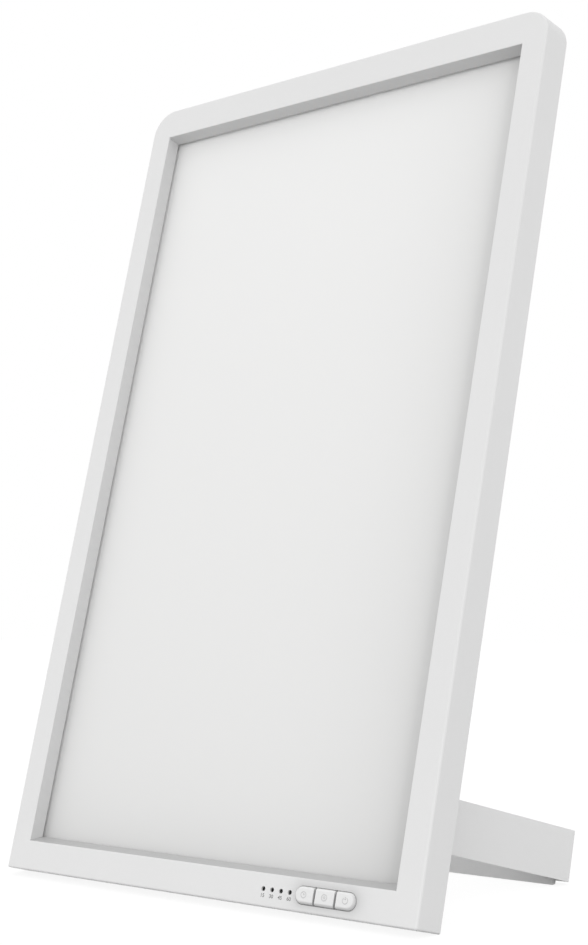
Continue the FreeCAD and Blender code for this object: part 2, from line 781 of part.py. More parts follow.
def make_rear_cover():
    """The back plate with the raised housing that carries the hinges and the driver."""
    body = new_body("rear_cover_body")
    plate = arched_box("cover_half", "cover_low", "cover_high", "cover_corner")
    grow(body, outline(body, FRONT, "cover_front", plate), "cover_thickness")

    middle = "cover_front + cover_thickness / 2"
    shell = [(middle, "housing_base"), ("panel_depth", "housing_base"),
             ("housing_back", "pivot_up - housing_back_drop"),
             ("housing_back", "pivot_up + housing_back_rise"),
             ("panel_depth", "housing_top"), (middle, "housing_top")]
    grow(body, outline(body, SIDE, "0", shell), "2 * housing_half", both_ways=True)
    round_edges(body, "housing_edge_radius", lambda p: near(p.y, "housing_back"))

    front = "(cover_front - %g)" % CUT_MARGIN

    def low_line(depth):
        return "housing_base + (%s - panel_depth) * low_slope + low_wall" % depth

    def high_line(depth):
        return "housing_top + (%s - panel_depth) * high_slope - high_wall" % depth

    hollow = [(front, low_line(front)), ("housing_inner", low_line("housing_inner")),
              ("housing_inner", high_line("housing_inner")), (front, high_line(front))]
    cut(body, outline(body, SIDE, "0", hollow), "2 * (housing_half - housing_wall)",
        both_ways=True)

    boss = grow(body, circles(body, SIDE, "boss_end",
                              [("pivot_back", "pivot_up", "hinge_boss_radius")]),
                "hinge_boss_length + housing_wall / 2")
    mirror(body, [boss])
    bore = "hinge_thread_radius + hinge_seat_fit"
    cut(body, circles(body, SIDE, "0", [("pivot_back", "pivot_up", bore)]),
        "2 * housing_half + %g" % CUT_MARGIN, both_ways=True)

    standoffs = [(x, z, "driver_boss_radius") for x, z in driver_boss_points()]
    grow(body, circles(body, FRONT, "driver_back", standoffs),
         "driver_standoff + housing_wall / 2")
    pilots = [(x, z, "driver_screw_radius + screw_clearance") for x, z in driver_boss_points()]
    cut(body, circles(body, FRONT, "driver_back", pilots),
        "driver_screw_length - driver_board_thickness + screw_clearance")

    holes = [(x, z, "cover_screw_radius + hole_clearance") for x, z in cover_screw_points()]
    cut(body, circles(body, FRONT, "cover_front - %g" % CUT_MARGIN, holes),
        "cover_thickness + %g" % (2 * CUT_MARGIN))
    sinks = [(x, z, "cover_screw_head + hole_clearance") for x, z in cover_screw_points()]
    cut(body, circles(body, FRONT, "panel_depth", sinks), "cover_screw_head_height",
        reverse=True)

    inlet = [("-jack_side", "jack_up", "jack_collar_radius + jack_collar_clearance")]
    cut(body, circles(body, FRONT, "housing_inner - %g" % CUT_MARGIN, inlet),
        "housing_wall + %g" % (2 * CUT_MARGIN))

    slot = box_path("vent_side", "vent_side + vent_width",
                    "pivot_up + vent_rise - vent_length / 2",
                    "pivot_up + vent_rise + vent_length / 2")
    vent = cut(body, outline(body, FRONT, "housing_inner - %g" % CUT_MARGIN, slot),
               "housing_wall + %g" % (2 * CUT_MARGIN))
    repeat(body, [vent], "X_Axis", "vent_pitch", VENT_SLOTS)
    return node(body, "rear_cover")


# ---------------------------------------------------------------- light stack

def make_gasket():
    """The foam ring between the recess flange and the diffuser."""
    body = new_body("gasket_body")
    outer = mirrored_box("diffuser_half", "diffuser_low", "diffuser_high")
    inner = mirrored_box("diffuser_half - gasket_width", "diffuser_low + gasket_width",
                         "diffuser_high - gasket_width")
    grow(body, outline(body, FRONT, "recess_depth", outer, inner), "diffuser_gap")
    return node(body, "diffuser_gasket")


def make_light_stack():
    diffuser = block("diffuser_block", "-diffuser_half", "diffuser_half", "diffuser_front",
                     "diffuser_front + diffuser_thickness", "diffuser_low", "diffuser_high")
    node(diffuser, "diffuser_plate")
    guide = block("guide_block", "-guide_half", "guide_half", "guide_front",
                  "guide_front + guide_thickness", "guide_low", "guide_high")
    node(guide, "light_guide")
    reflector = block("reflector_block", "-guide_half", "guide_half", "reflector_front",
                      "reflector_front + reflector_thickness", "guide_low", "guide_high")
    node(reflector, "reflector_sheet")


def make_light_strips():
    """On each side: a heat rail, the strip glued to it and the row of diodes on the strip."""
    for side, name in ((-1, "left"), (1, "right")):
        def between(label, near_edge, far_edge, front, back):
            edges = [near_edge, far_edge]
            if side < 0:
                edges = ["-(%s)" % far_edge, "-(%s)" % near_edge]
            return block(label, edges[0], edges[1], front, back, "rail_low", "rail_high")

        rail = between("rail_block_" + name, "rail_inner", "rail_inner + rail_thickness",
                       "recess_depth", "cover_front")
        node(rail, "heat_rail_" + name)
        strip = between("strip_block_" + name, "strip_inner", "rail_inner",
                        "recess_depth + strip_front_gap", "cover_front - strip_back_gap")
        node(strip, "light_strip_" + name)

        body = new_body("diodes_body_" + name)
        start = "strip_inner" if side > 0 else "-strip_inner"
        middle = "guide_front + guide_thickness / 2"
        step = "(opening_top - sill_back) / %d" % STRIP_DIODES
        low = "sill_back + (%s - diode_length) / 2" % step
        path = box_path("%s - diode_width / 2" % middle, "%s + diode_width / 2" % middle,
                        low, "%s + diode_length" % low)
        first = grow(body, outline(body, SIDE, start, path), "diode_reach", reverse=side > 0)
        repeat(body, [first], "Z_Axis", step, STRIP_DIODES)
        node(body, "strip_diodes_" + name)


# ---------------------------------------------------------------- keys and indicators

def key_path(which):
    """The outline of one cap: the outer caps have a round outer end."""
    left = key_lefts()[which]
    right = "(%s + key_width)" % left
    radius = "key_height / 2"
    middle = "key_axis_height"
    low = "%s - %s" % (middle, radius)
    high = "%s + %s" % (middle, radius)
    if which == 0:
        centre = "%s + %s" % (left, radius)
        return [(centre, low, centre, middle), (right, low), (right, high), (centre, high)]
    if which == 2:
        centre = "%s - %s" % (right, radius)
        return [(left, low), (centre, low), (centre, high, centre, middle), (left, high)]
    return box_path(left, right, low, high)


def make_key(which, name):
    body = new_body("key_body_" + name)
    cap = outline(body, FRONT, "-key_proud", key_path(which))
    grow(body, cap, "key_proud + key_flange_front")
    left = key_lefts()[which]
    right = "%s + key_width" % left
    square_ends = {0: [right], 1: [left, right], 2: [left]}[which]

    def on_square_end(p):
        return any(near(p.x, end) for end in square_ends)

    round_edges(body, "key_edge_radius", lambda p: near(p.y, "-key_proud"),
                unwanted=on_square_end)
    round_edges(body, "key_end_radius", on_square_end,
                unwanted=lambda p: near(p.y, "key_flange_front"))

    reach_left = " - key_flange_reach" if which == 0 else ""
    reach_right = " + key_flange_reach" if which == 2 else ""
    flange = box_path(left + reach_left, right + reach_right,
                      "key_axis_height - key_height / 2 - key_flange_reach",
                      "key_axis_height + key_height / 2 + key_flange_reach")
    grow(body, outline(body, FRONT, "key_flange_front", flange), "key_flange_thickness")
    stem = [(key_centres()[which], "key_axis_height", "key_stem_radius")]
    grow(body, circles(body, FRONT, "key_flange_back", stem), "key_stem_length")
    node(body, "key_" + name)

    plunger = rod("plunger_rod_" + name, "plunger_radius", "plunger_length",
                  key_centres()[which], "key_back", "key_axis_height")
    node(plunger, "plunger_" + name)


def make_switches():
    """Three small push switches on the control board, each bored for its plunger."""
    bodies = []
    for i, centre in enumerate(key_centres()):
        case = block("switch_case_%d" % i, "%s - switch_side / 2" % centre,
                     "%s + switch_side / 2" % centre, "switch_front", "control_front",
                     "key_axis_height - switch_side / 2", "key_axis_height + switch_side / 2")
        depth = "plunger_length - switch_gap + plunger_end_gap"
        bore = rod("switch_bore_%d" % i, "plunger_radius + plunger_clearance",
                   "%s + %g" % (depth, CUT_MARGIN), centre, "switch_front - %g" % CUT_MARGIN,
                   "key_axis_height")
        bodies.append(without("switch_%d" % i, case, bore))
    node(group("switch_group", bodies), "switch_bodies")


def make_indicators():
    lenses = []
    chips = []
    for i, centre in enumerate(window_centres()):
        stem = rod("lens_stem_%d" % i, "window_radius - lens_clearance",
                   "lens_back - window_depth", centre, "window_depth", "window_axis_height")
        collar = rod("lens_collar_%d" % i, "lens_flange_radius", "lens_flange_thickness",
                     centre, "shell_wall", "window_axis_height")
        lenses.append(joined("lens_%d" % i, [stem, collar]))
        chips.append(block("chip_%d" % i, "%s - indicator_side / 2" % centre,
                           "%s + indicator_side / 2" % centre,
                           "control_front - indicator_height", "control_front",
                           "window_axis_height - indicator_side / 2",
                           "window_axis_height + indicator_side / 2"))
    node(group("lens_group", lenses), "indicator_lenses")
    node(group("chip_group", chips), "indicator_diodes")


def make_control_board():
    body = new_body("control_board_body")
    edge = box_path("control_left", "control_right", "control_low",
                    "control_low + control_board_height")
    sketch = outline(body, FRONT, "control_front", edge)
    add_circles(sketch, [(x, "key_axis_height", "control_screw_radius + hole_clearance")
                         for x in control_boss_points()])
    grow(body, sketch, "control_board_thickness")
    node(body, "control_board")

    screws = [screw("control_screw_%d" % i, x, "control_back", "key_axis_height",
                    "control_screw_radius", "control_screw_length", "control_screw_head",
                    "control_screw_head_height", to_front=True)
              for i, x in enumerate(control_boss_points())]
    node(group("control_screw_group", screws), "control_board_screws")

    middle = "ribbon_height + ribbon_thickness / 2"
    header = block("control_header_block", "ribbon_side - header_length / 2",
                   "ribbon_side + header_length / 2", "control_back",
                   "control_back + control_header_depth",
                   "%s - header_height / 2" % middle, "%s + header_height / 2" % middle)
    node(header, "control_header")


# ---------------------------------------------------------------- driver and wiring

def make_driver_board():
    body = new_body("driver_board_body")
    edge = mirrored_box("driver_board_length / 2", "driver_low",
                        "driver_low + driver_board_height")
    sketch = outline(body, FRONT, "driver_front", edge)
    add_circles(sketch, [(x, z, "driver_screw_radius + hole_clearance")
                         for x, z in driver_boss_points()])
    grow(body, sketch, "driver_board_thickness")
    node(body, "driver_board")

    screws = [screw("driver_screw_%d" % i, x, "driver_front", z, "driver_screw_radius",
                    "driver_screw_length", "driver_screw_head", "driver_screw_head_height",
                    to_front=False)
              for i, (x, z) in enumerate(driver_boss_points())]
    node(group("driver_screw_group", screws), "driver_board_screws")

    coil = rod("coil_rod", "coil_radius", "coil_height", "-coil_side",
               "driver_front - coil_height", "pivot_up + coil_rise")
    node(coil, "driver_coil")
    capacitors = [rod("capacitor_%d" % i, "capacitor_radius", "capacitor_height",
                      "capacitor_side + %d * capacitor_pitch" % i,
                      "driver_front - capacitor_height", "pivot_up + capacitor_rise")
                  for i in range(2)]
    node(group("capacitor_group", capacitors), "driver_capacitors")
    chip = block("driver_chip_block", "-chip_offset - chip_side / 2",
                 "-chip_offset + chip_side / 2", "driver_front - chip_height", "driver_front",
                 "pivot_up - chip_drop - chip_side / 2", "pivot_up - chip_drop + chip_side / 2")
    node(chip, "driver_chip")


def header_at(name, centre, middle):
    """A wire header on the front of the driver board."""
    return block(name, "%s - header_length / 2" % centre, "%s + header_length / 2" % centre,
                 "driver_front - header_depth", "driver_front",
                 "%s - header_height / 2" % middle, "%s + header_height / 2" % middle)


def make_wiring():
    """Headers, the ribbon to the control board and the square-folded leads."""
    ribbon_middle = "pivot_up - ribbon_drop"
    lead_middle = "pivot_up - lead_drop"
    headers = [header_at("header_ribbon", "ribbon_side", ribbon_middle),
               header_at("header_left", "-lead_header_side", lead_middle),
               header_at("header_right", "lead_header_side", lead_middle),
               header_at("header_power", "-ribbon_side", "jack_up")]
    node(group("header_group", headers), "driver_headers")

    body = new_body("ribbon_body")
    start = "control_back + control_header_depth"
    rise = "ribbon_front"
    low = "ribbon_height"
    top = "(%s - ribbon_thickness / 2)" % ribbon_middle
    end = "driver_front - header_depth"
    thick = "ribbon_thickness"
    path = [(start, low), ("%s + %s" % (rise, thick), low),
            ("%s + %s" % (rise, thick), top), (end, top),
            (end, "%s + %s" % (top, thick)), (rise, "%s + %s" % (top, thick)),
            (rise, "%s + %s" % (low, thick)), (start, "%s + %s" % (low, thick))]
    grow(body, outline(body, SIDE, "ribbon_side", path), "ribbon_width", both_ways=True)
    node(body, "control_ribbon")

    depth = "panel_depth + lead_entry_gap"
    meet = "driver_front - header_depth"
    for sign, name in (("-", "left"), ("", "right")):
        strip_middle = "%s(strip_inner + strip_thickness / 2)" % sign
        entry = sign + "lead_entry"
        header = sign + "lead_header_side"
        corners = [(strip_middle, "lead_depth", "rail_low - lead_side / 2"),
                   (strip_middle, "lead_depth", "lead_height"),
                   (entry, "lead_depth", "lead_height"),
                   (entry, depth, "lead_height"),
                   (entry, depth, lead_middle),
                   (header, depth, lead_middle),
                   (header, "%s - lead_side / 2" % meet, lead_middle)]
        node(lead("strip_lead_run_" + name, corners), "strip_lead_" + name)
    jack_front = "(housing_inner - jack_body_depth)"
    turn = "driver_front - header_depth / 2"
    corners = [("-jack_side", "%s - lead_side / 2" % jack_front, "jack_up"),
               ("-jack_side", turn, "jack_up"),
               ("-ribbon_side - header_length / 2 - lead_side / 2", turn, "jack_up")]
    node(lead("power_lead_run", corners), "power_lead")


def lead(name, corners):
    """A square lead that runs straight from corner to corner."""
    runs = []
    for i in range(len(corners) - 1):
        lows = ["min(%s; %s) - lead_side / 2" % pair for pair in zip(corners[i], corners[i + 1])]
        highs = ["max(%s; %s) + lead_side / 2" % pair for pair in zip(corners[i], corners[i + 1])]
        runs.append(block("%s_%d" % (name, i), lows[0], highs[0], lows[1], highs[1],
                          lows[2], highs[2]))
    return joined(name, runs)


def hexagon_path(across, upward, width):
    """A hexagon with two flat sides upright, from its width across flats."""
    half = "%s / 2" % width
    corner = "%s / sqrt(3)" % width
    return [("%s + %s" % (across, half), "%s - %s / 2" % (upward, corner)),
            ("%s + %s" % (across, half), "%s + %s / 2" % (upward, corner)),
            (across, "%s + %s" % (upward, corner)),
            ("%s - %s" % (across, half), "%s + %s / 2" % (upward, corner)),
            ("%s - %s" % (across, half), "%s - %s / 2" % (upward, corner)),
            (across, "%s - %s" % (upward, corner))]


def make_power_inlet():
    body = new_body("jack_body")
    half = "jack_body_side / 2"
    case = box_path("-jack_side - %s" % half, "-jack_side + %s" % half,
                    "jack_up - %s" % half, "jack_up + %s" % half)
    grow(body, outline(body, FRONT, "housing_inner - jack_body_depth", case),
         "jack_body_depth")
    mouth = "housing_back + jack_nut_thickness + jack_collar_proud"
    collar = [("-jack_side", "jack_up", "jack_collar_radius")]
    grow(body, circles(body, FRONT, "housing_inner", collar), "%s - housing_inner" % mouth)
    bore = [("-jack_side", "jack_up", "jack_bore_radius")]
    cut(body, circles(body, FRONT, mouth, bore), "jack_bore_depth", reverse=True)
    node(body, "power_jack")

    pin = rod("jack_pin_rod", "jack_pin_radius", "jack_bore_depth - jack_pin_setback",
              "-jack_side", "%s - jack_bore_depth" % mouth, "jack_up")
    node(pin, "jack_pin")

    nut = new_body("jack_nut_body")
    sketch = outline(nut, FRONT, "housing_back",
                     hexagon_path("-jack_side", "jack_up", "jack_nut_width"))
    add_circles(sketch, [("-jack_side", "jack_up",
                          "jack_collar_radius + jack_collar_clearance / 2")])
    grow(nut, sketch, "jack_nut_thickness")
    node(nut, "jack_nut")


def make_cover_screws():
    screws = [screw("cover_screw_%d" % i, x, "panel_depth - cover_screw_head_height", z,
                    "cover_screw_radius", "cover_screw_length", "cover_screw_head",
                    "cover_screw_head_height", to_front=True)
              for i, (x, z) in enumerate(cover_screw_points())]
    node(group("cover_screw_group", screws), "cover_screws")


# ---------------------------------------------------------------- stand

def table_line(depth):
    """Height of the table at a depth behind the front face, in the leaned panel's frame."""
    return "(%s - panel_depth) * tan(lean) + table_lift / cos(lean)" % depth


def make_stand_frame():
    """One bent steel strip: the rear plate, two splayed arms and the ears at the hinges."""
    body = new_body("stand_frame_body")
    front = "pivot_back - heel"
    inside = [("ear_inner", front), ("ear_inner", "ear_inner_back"),
              ("plate_inner_half", "plate_front")]
    outside = [("ear_outer", front), ("ear_outer", "ear_back"), ("plate_half", "stand_reach")]
    plan = ([("-" + x, y) for x, y in inside] + inside[::-1] + outside
            + [("-" + x, y) for x, y in outside[::-1]])
    grow(body, outline(body, PLAN, "arm_low", plan), "arm_height")

    def bend(across, depth, radius):
        round_edges(body, radius, lambda p: near(abs(p.x), across) and near(p.y, depth))

    bend("plate_half", "stand_reach", "bend_radius")
    bend("plate_inner_half", "plate_front", "bend_radius - arm_thickness")
    bend("ear_outer", "ear_back", "ear_bend_radius")
    bend("ear_inner", "ear_inner_back", "ear_bend_radius + arm_thickness")

    chord = "pivot_back - sqrt(heel * heel - arm_height * arm_height / 4)"
    above = "arm_high + %g" % CUT_MARGIN
    before = "pivot_back - heel - %g" % CUT_MARGIN
    corner = [(before, "pivot_up"), (before, above), (chord, above), (chord, "arm_high"),
              ("pivot_back - heel", "pivot_up", "pivot_back", "pivot_up")]
    cut(body, outline(body, SIDE, "0", corner), "2 * ear_outer + %g" % CUT_MARGIN,
        both_ways=True)
    eye = [("pivot_back", "pivot_up", "bush_radius + hinge_seat_fit")]
    cut(body, circles(body, SIDE, "0", eye), "2 * ear_outer + %g" % CUT_MARGIN,
        both_ways=True)
    holes = [(x, "arm_low + foot_screw_height", "foot_screw_radius + hole_clearance")
             for x in foot_screw_points()]
    cut(body, circles(body, FRONT, "plate_front - %g" % CUT_MARGIN, holes),
        "arm_thickness + %g" % (2 * CUT_MARGIN))
    return node(body, "stand_frame")


def make_foot():
    body = new_body("foot_bar_body")
    raised = " + foot_pad_proud / cos(lean)"
    side = [("foot_front", table_line("foot_front") + raised),
            ("plate_front", table_line("plate_front") + raised),
            ("plate_front", "arm_low + foot_height"), ("foot_front", "arm_low + foot_height")]
    grow(body, outline(body, SIDE, "0", side), "2 * foot_half", both_ways=True)
    round_edges(body, "foot_end_radius",
                lambda p: near(abs(p.x), "foot_half") and near(p.y, "plate_front"))
    round_edges(body, "foot_edge_radius",
                lambda p: near(p.y, "foot_front")
                and (near(abs(p.x), "foot_half") or near(p.z, "arm_low + foot_height")))

    front = "foot_middle - foot_pad_depth / 2"
    back = "foot_middle + foot_pad_depth / 2"
    top = table_line("foot_middle") + " + foot_pad_thickness"
    loose = "foot_pad_clearance"
    pocket = [("%s - %s" % (front, loose), table_line("(%s)" % front) + " - %g" % CUT_MARGIN),
              ("%s + %s" % (back, loose), table_line("(%s)" % back) + " - %g" % CUT_MARGIN),
              ("%s + %s" % (back, loose), "%s + %s" % (top, loose)),
              ("%s - %s" % (front, loose), "%s + %s" % (top, loose))]
    seat = cut(body, outline(body, SIDE, "foot_pad_side", pocket),
               "foot_pad_length + 2 * %s" % loose, both_ways=True)
    mirror(body, [seat])
    pilots = [(x, "arm_low + foot_screw_height", "foot_screw_radius + screw_clearance")
              for x in foot_screw_points()]
    cut(body, circles(body, FRONT, "plate_front", pilots),
        "foot_screw_length - arm_thickness + screw_clearance", reverse=True)
    node(body, "foot_bar")

    pads = new_body("foot_pads_body")
    path = [(front, table_line("(%s)" % front)), (back, table_line("(%s)" % back)),
            (back, top), (front, top)]
    pad = grow(pads, outline(pads, SIDE, "foot_pad_side", path), "foot_pad_length",
               both_ways=True)
    mirror(pads, [pad])
    node(pads, "foot_pads")

    screws = [screw("foot_screw_%d" % i, x, "stand_reach", "arm_low + foot_screw_height",
                    "foot_screw_radius", "foot_screw_length", "foot_screw_head",
                    "foot_screw_head_height", to_front=True)
              for i, x in enumerate(foot_screw_points())]
    node(group("foot_screw_group", screws), "foot_screws")


# ---------------------------------------------------------------- hinges

def pivot_round(body, offset, *radii):
    """One or more circles about the hinge axis, on a plane across the panel."""
    return circles(body, SIDE, offset, [("pivot_back", "pivot_up", r) for r in radii])


def make_hinges():
    """Left and right alike: a shoulder bolt, its nut, a friction washer and a bush."""
    bolts = new_body("hinge_bolts_body")
    thread = grow(bolts, pivot_round(bolts, "bolt_end", "hinge_thread_radius"),
                  "housing_half - bolt_end")
    shoulder = grow(bolts, pivot_round(bolts, "housing_half", "hinge_bolt_radius"),
                    "ear_outer + arm_side_gap - housing_half")
    head = grow(bolts, pivot_round(bolts, "ear_outer + arm_side_gap", "hinge_head_radius"),
                "hinge_head_thickness")
    mirror(bolts, [thread, shoulder, head])
    round_edges(bolts, "hinge_dome_radius",
                lambda p: near(abs(p.x), "ear_outer + arm_side_gap + hinge_head_thickness"))
    node(bolts, "hinge_bolts")

    nuts = new_body("hinge_nuts_body")
    sketch = outline(nuts, SIDE, "boss_end - hinge_nut_thickness",
                     hexagon_path("pivot_back", "pivot_up", "hinge_nut_width"))
    add_circles(sketch, [("pivot_back", "pivot_up", "hinge_thread_radius + hinge_seat_fit")])
    mirror(nuts, [grow(nuts, sketch, "hinge_nut_thickness")])
    node(nuts, "hinge_nuts")

    running = "hinge_bolt_radius + hinge_running_fit"
    washers = new_body("hinge_washers_body")
    ring = grow(washers, pivot_round(washers, "housing_half", "hinge_washer_radius", running),
                "hinge_washer_thickness")
    mirror(washers, [ring])
    node(washers, "hinge_washers")

    bushes = new_body("hinge_bushes_body")
    ring = grow(bushes, pivot_round(bushes, "ear_inner", "bush_radius", running),
                "arm_thickness")
    mirror(bushes, [ring])
    node(bushes, "hinge_bushes")


# ---------------------------------------------------------------- build, test and write

def test_everything():
    doc.recompute()
    for thing in doc.Objects:
        if "Invalid" in thing.State or "Error" in thing.State:
            raise RuntimeError("%s (%s) failed: %s" % (thing.Name, thing.Label, thing.State))
    for piece in nodes:
        shape = piece.Shape
        if shape.isNull() or not shape.isValid() or not shape.Solids:
            raise RuntimeError("%s has no valid solid" % piece.Label)


def write_steps():
    os.makedirs("parts", exist_ok=True)
    for piece in nodes:
        piece.Shape.exportStep(os.path.join("parts", piece.Label + ".step"))


make_front_frame()
make_rear_cover()
make_gasket()
make_light_stack()
make_light_strips()
for place, side_name in enumerate(("left", "middle", "right")):
    make_key(place, side_name)
make_switches()
make_indicators()
make_control_board()
make_driver_board()
make_wiring()
make_power_inlet()
make_cover_screws()
make_stand_frame()
make_foot()
make_hinges()
test_everything()
write_steps()
for piece in nodes:
    print("%-24s %2d solids %10.1f mm3" % (piece.Label, len(piece.Shape.Solids),
                                           piece.Shape.Volume))
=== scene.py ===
"""Light therapy lamp: finishes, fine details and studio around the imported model.

Every finish is procedural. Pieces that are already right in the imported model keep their
shape and only get a finish; the raised signs on the keys and the printed numbers are
made here.
"""

import math

import bmesh
import bpy
from bpy.props import FloatProperty, FloatVectorProperty, PointerProperty
from mathutils import Matrix, Vector


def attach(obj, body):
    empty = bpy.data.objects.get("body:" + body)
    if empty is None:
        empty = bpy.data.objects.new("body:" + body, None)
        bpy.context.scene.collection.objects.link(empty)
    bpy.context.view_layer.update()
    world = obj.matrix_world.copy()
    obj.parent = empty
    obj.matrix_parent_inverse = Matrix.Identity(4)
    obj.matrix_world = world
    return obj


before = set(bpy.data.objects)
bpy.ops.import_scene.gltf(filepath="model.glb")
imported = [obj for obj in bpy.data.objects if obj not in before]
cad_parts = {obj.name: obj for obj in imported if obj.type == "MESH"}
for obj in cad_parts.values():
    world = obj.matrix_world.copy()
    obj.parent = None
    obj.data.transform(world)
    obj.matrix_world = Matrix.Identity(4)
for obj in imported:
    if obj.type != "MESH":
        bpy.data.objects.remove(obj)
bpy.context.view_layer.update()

bl_info = {
    "name": "Light Therapy Lamp",
    "version": (1, 0, 0),
    "blender": (4, 5, 0),
    "location": "View3D > Sidebar > Lamp",
    "description": "Finishes, fine details and studio for a light therapy lamp",
    "category": "Object",
}

MM = 0.001

# Where the leaned panel stands: its lean, and its front face's lower edge.
LEAN = math.radians(15.46)
EDGE_Y = -91.257 * MM
EDGE_Z = 4.596 * MM

# Places on the panel in millimetres: across from its middle, back from its front face and
# up from its lower edge.
KEY_CENTRES = {"left": 76.2, "middle": 89.1, "right": 102.0}
KEY_ROW_HALF = 18.7
KEY_END_RADIUS = 4.5
KEY_AXIS_HEIGHT = 8.7
KEY_FACE = -1.3
SIGN_RAISE = 0.25
SIGN_ROOT = -0.05
PRINT_FACE = -0.01
WINDOW_CENTRES = (49.2, 54.95, 60.7, 66.45)
MINUTES = ("15", "30", "45", "60")
OPENING_SIDE = 129.75
OPENING_FOOT = 17.1
OPENING_HEAD = 479.0
SHADE_SIDE = 118.7
SILL_BACK = 20.7
SILL_SLOPE = 3.6 / 9.25
FOOT_END = 130.9

# The signs' proportions, as shares of their radius and of their line, the open ring's ends
# in degrees, and the height of a digit as a share of its letter size.
HAND_UP = 0.55
HAND_RIGHT = 0.45
INNER_RING = 0.35
BAR_TOP = 1.15
BAR_FOOT = 0.25
OPEN_RING = (125.0, 415.0)
THIN_LINE = 0.8
CAPITAL_SHARE = 0.7

# How much painted shade darkens the walls of the opening, and what its head and its sill add.
WALL_PAINTED_SHADE = 0.14
HEAD_PAINTED_SHADE = 0.05
SILL_PAINTED_SHADE = 0.22

# How the painted light on the frame's face changes over a millimetre across and up, its
# level on the lower border and above it, and how much painted shade darkens its outer sides and
# top.
ACROSS_LIGHT_DRIFT = -0.00011
UPWARD_LIGHT_DRIFT = -0.00005
LOWER_LIGHT_LEVEL = 1.0315
UPPER_LIGHT_LEVEL = 1.0165
SIDE_PAINTED_SHADE = 0.03
TOP_PAINTED_SHADE = 0.055

# The painted soft shade around the row of keys, and the painted shade on the rims of the keys.
KEY_SHADE = 0.24
KEY_SHADE_REACH = 3.0
KEY_RIM_PAINTED_SHADE = 0.25

# The diffuser's level at its foot and its painted rise of light over a millimetre, and then its
# painted shade and light. Each runs along an axis from an edge, fades over a reach and has an
# amount.
DIFFUSER_LEVEL = 0.921
DIFFUSER_LIGHT_RISE = 0.000173
DIFFUSER_PAINTED_SHADING = (
    ("across", -OPENING_SIDE, 8.5, -0.05),
    ("across", -OPENING_SIDE, 1.9, -0.25),
    ("across", -OPENING_SIDE, 0.7, 0.30),
    ("across", OPENING_SIDE, -36.8, -0.168),
    ("across", SHADE_SIDE, -4.7, -0.12),
    ("height", OPENING_HEAD, -6.9, 0.086),
    ("height", SILL_BACK, 18.2, -0.153),
)

# The foot bar: painted lighter in its middle, and painted shade over a reach from its ends.
FOOT_PAINTED_LIGHT = 1.17
FOOT_END_PAINTED_SHADE = 0.40
FOOT_REACH = 24.0

# The studio, in metres and degrees, with the lens in millimetres and the shift as shares of
# the picture's longer side.
FLOOR_SIZE = 6.0
FLOOR_GREY = 0.45
FLOOR_SHOWN_GREY = 0.16
LAMP_SIZE = 1.6
FRONT_LAMP_PLACE = (0.75, -1.8, 0.5)
REAR_LAMP_PLACE = (1.5, 1.3, 0.5)
LAMP_AIM = (0.0, 0.0, 0.24)
CAMERA_PLACE = (0.518697, -0.673046, 0.155628)
CAMERA_DIP = 1.18811
CAMERA_TURN = 37.20211
CAMERA_LENS = 55.437
CAMERA_SHIFT = (-0.01002, 0.18082)


# ---------------------------------------------------------------- properties

def colour_property(name, description, default):
    return FloatVectorProperty(name=name, description=description, default=default,
                               size=3, min=0.0, max=1.0, subtype="COLOR")


def length_property(name, description, millimetres):
    return FloatProperty(name=name, description=description, default=millimetres * MM,
                         min=0.0, unit="LENGTH", precision=5)


class LampColours(bpy.types.PropertyGroup):
    """The colours that a user would change."""

    shell: colour_property("Shell", "Moulded frame, rear cover and foot bar",
                           (0.80, 0.80, 0.80))
    diffuser: colour_property("Diffuser", "The lit panel", (0.90, 0.90, 0.895))
    keys: colour_property("Keys", "The three key caps", (0.84, 0.84, 0.84))
    steel: colour_property("Stand", "Powder coat on the bent steel stand",
                           (0.815, 0.815, 0.815))
    windows: colour_property("Windows", "Smoked lenses over the indicators",
                             (0.006, 0.006, 0.006))
    print_ink: colour_property("Print", "Numbers printed under the windows",
                               (0.26, 0.26, 0.26))
    foot_rubber: colour_property("Foot pads", "Rubber under the foot bar",
                                 (0.30, 0.30, 0.30))


class LampSizes(bpy.types.PropertyGroup):
    """The sizes of the details that are made here."""

    sign_radius: length_property("Sign radius", "Half the width of a raised key sign", 1.55)
    sign_line: length_property("Sign line", "Width of a sign's raised line", 0.6)
    sign_rise: length_property("Sign rise", "Height of a sign over its cap", 0.14)
    number_height: length_property("Number height", "Height of the printed numbers", 1.9)
    number_drop: length_property("Number level", "Height of the numbers' middle above the edge",
                                 5.65)


class LampStudio(bpy.types.PropertyGroup):
    """Light levels of the studio."""

    ambient: FloatProperty(name="Ambient", description="Strength of the even surrounding light",
                           default=0.93, min=0.0)
    front: FloatProperty(name="Front lamp", description="Power of the large front lamp in watts",
                         default=11.5, min=0.0)
    rear: FloatProperty(name="Rear lamp", description="Power of the large rear lamp in watts",
                        default=4.5, min=0.0)
    floor_lift: FloatProperty(name="Floor lift",
                              description="How far the floor is lifted to white",
                              default=0.88, min=0.0)


# ---------------------------------------------------------------- finishes

def new_finish(name, roughness=0.5, metallic=0.0, coat=0.0, specular=0.5):
    """A material with a Principled shader, and object coordinates for its textures."""
    material = bpy.data.materials.new(name)
    material.use_nodes = True
    tree = material.node_tree
    shader = tree.nodes["Principled BSDF"]
    shader.inputs["Roughness"].default_value = roughness
    shader.inputs["Metallic"].default_value = metallic
    shader.inputs["Coat Weight"].default_value = coat
    shader.inputs["Specular IOR Level"].default_value = specular
    coordinates = tree.nodes.new("ShaderNodeTexCoord")
    return material, tree, shader, coordinates.outputs["Object"]


